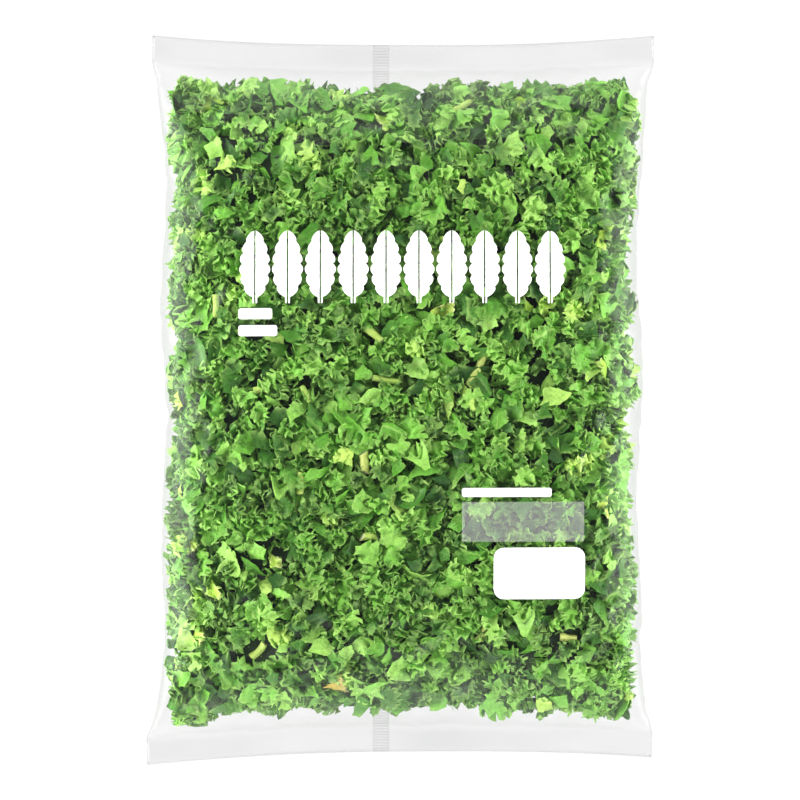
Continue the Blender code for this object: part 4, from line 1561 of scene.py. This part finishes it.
def print_shape(name, outlines, material, step):
    """Lays flat outlines on the front film as one thin printed skin."""
    rng = random.Random(SEED)
    points, faces = [], []
    for outline in outlines:
        in_mm = [p / MM for p in outline]
        dense = []
        for a, b in zip(in_mm, in_mm[1:] + in_mm[:1]):
            count = max(round((b - a).length / step), 1)
            dense += [a.lerp(b, i / count) for i in range(count)]
        flat, flat_faces = fill_outline(dense, rng, step)
        faces += [tuple(len(points) + i for i in face) for face in flat_faces]
        for p in flat:
            x, y = p.x * MM, p.y * MM
            points.append((x, y, height_on_skin(x, y) + INK_LIFT))
    shape = give_wall(link(new_object(name, points, faces)), name, INK_WALL, offset=1)
    shape.data.materials.append(material)
    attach(shape, "root")
    return shape


# %% The row of leaves, the small lines, the panel and the label
TITLE = (238, 230, 567, 303)
TITLE_LEAVES = 10
TITLE_STEP = 2.2
LEAF_MARGIN = 0.03
BOXES = {
    # left, top, right and bottom pixel, corner radius in mm, ink, step in mm
    "printed_line_1": ((238, 308, 272, 319), 1.2, ink, 2.0),
    "printed_line_2": ((238, 325, 277, 336), 1.2, ink, 2.0),
    "printed_line_3": ((462, 488, 552, 497), 1.2, ink, 2.0),
    "printed_panel": ((462, 502, 585, 542), 0.6, ink_wash, 2.5),
    "printed_label": ((494, 548, 586, 600), 5, ink, 2.5),
}

title_low, title_high = on_bag(TITLE[0], TITLE[3]), on_bag(TITLE[2], TITLE[1])
pitch = (title_high.x - title_low.x) / TITLE_LEAVES
title_leaves = []
for i in range(TITLE_LEAVES):
    left = title_low.x + (i + LEAF_MARGIN) * pitch
    title_leaves += leaf_halves(left, left + (1 - 2 * LEAF_MARGIN) * pitch, title_low.y, title_high.y)
printing = [print_shape("printed_leaf_row", title_leaves, ink, TITLE_STEP)]
for name, (box, radius, material, step) in BOXES.items():
    printing.append(print_shape(name, [rounded_box(box, radius * MM)], material, step))
print(len(printing), "printed pieces,", sum(triangles(p) for p in printing), "triangles")


# %% [markdown]
# The camera looks straight down through a long lens, so that the bag shows as it does in the photo, with
# its edges square. The photo's frame is 400 mm wide at the height of the bag's sealed ends. Four low, wide
# softboxes stand round the bag, so that its slopes are lit as well as its front, and the table is white.

# %% Floor, lights and camera
FRAME_WIDTH = 400 * MM
EDGE_HEIGHT = 13 * MM
OFF_CENTRE = -0.25 * MM
LENS = 150
SENSOR = 36
FLOOR_HALF = 4
FLOOR_DROP = 0.3 * MM
WORLD_LIGHT = 0.34
SOFTBOXES = {
    # direction it stands in and its height in degrees, distance and size in metres, power in watts
    "softbox_right": (0, 17, 1.0, (1.3, 0.7), 23),
    "softbox_left": (180, 17, 1.0, (1.3, 0.7), 28),
    "softbox_top": (90, 21, 1.1, (1.4, 1.0), 11.5),
    "softbox_bottom": (270, 21, 1.1, (1.4, 1.0), 12),
}


def build_floor():
    ways = ((-1, -1), (1, -1), (1, 1), (-1, 1))
    corners = [(x * FLOOR_HALF, y * FLOOR_HALF, -FLOOR_DROP) for x, y in ways]
    floor = link(new_object("floor", corners, [(0, 1, 2, 3)]))
    material, tree = new_material("lit white table")
    lit = {
        "Base Color": colour("202020"), "Roughness": 1,
        "Emission Color": colour("ffffff"), "Emission Strength": 1.0,
    }
    shader = add(tree, "ShaderNodeBsdfPrincipled", lit)
    add(tree, "ShaderNodeOutputMaterial", {"Surface": shader})
    floor.data.materials.append(material)


def add_softbox(name, azimuth, elevation, distance, size, power):
    """A soft area light that looks at the bag. Azimuth 0 is towards +X."""
    lamp = bpy.data.lights.new(name, "AREA")
    lamp.shape = "RECTANGLE"
    lamp.size, lamp.size_y = size
    lamp.energy = power
    box = link(bpy.data.objects.new(name, lamp))
    a, e = math.radians(azimuth), math.radians(elevation)
    box.location = distance * Vector((math.cos(e) * math.cos(a), math.cos(e) * math.sin(a), math.sin(e)))
    box.rotation_euler = (-box.location).to_track_quat("-Z", "Y").to_euler()
    box.visible_camera = False


def build_camera():
    camera = link(bpy.data.objects.new("camera", bpy.data.cameras.new("camera")))
    camera.data.lens = LENS
    camera.data.sensor_width = SENSOR
    camera.location = (OFF_CENTRE, 0, EDGE_HEIGHT + FRAME_WIDTH * LENS / SENSOR)
    bpy.context.scene.camera = camera


def build_world():
    world = bpy.data.worlds.new("studio")
    world.use_nodes = True
    background = world.node_tree.nodes["Background"].inputs
    background["Color"].default_value = colour("ffffff")
    background["Strength"].default_value = WORLD_LIGHT
    bpy.context.scene.world = world


build_floor()
for name, setting in SOFTBOXES.items():
    add_softbox(name, *setting)
build_camera()
build_world()
bpy.context.scene.view_settings.view_transform = "Standard"
print(len(SOFTBOXES), "softboxes, camera at", round(bpy.context.scene.camera.location.z, 3), "m")


# %% Put the helpers away and finish
for helper in (skin, kept_clear):
    bpy.data.objects.remove(helper, do_unlink=True)
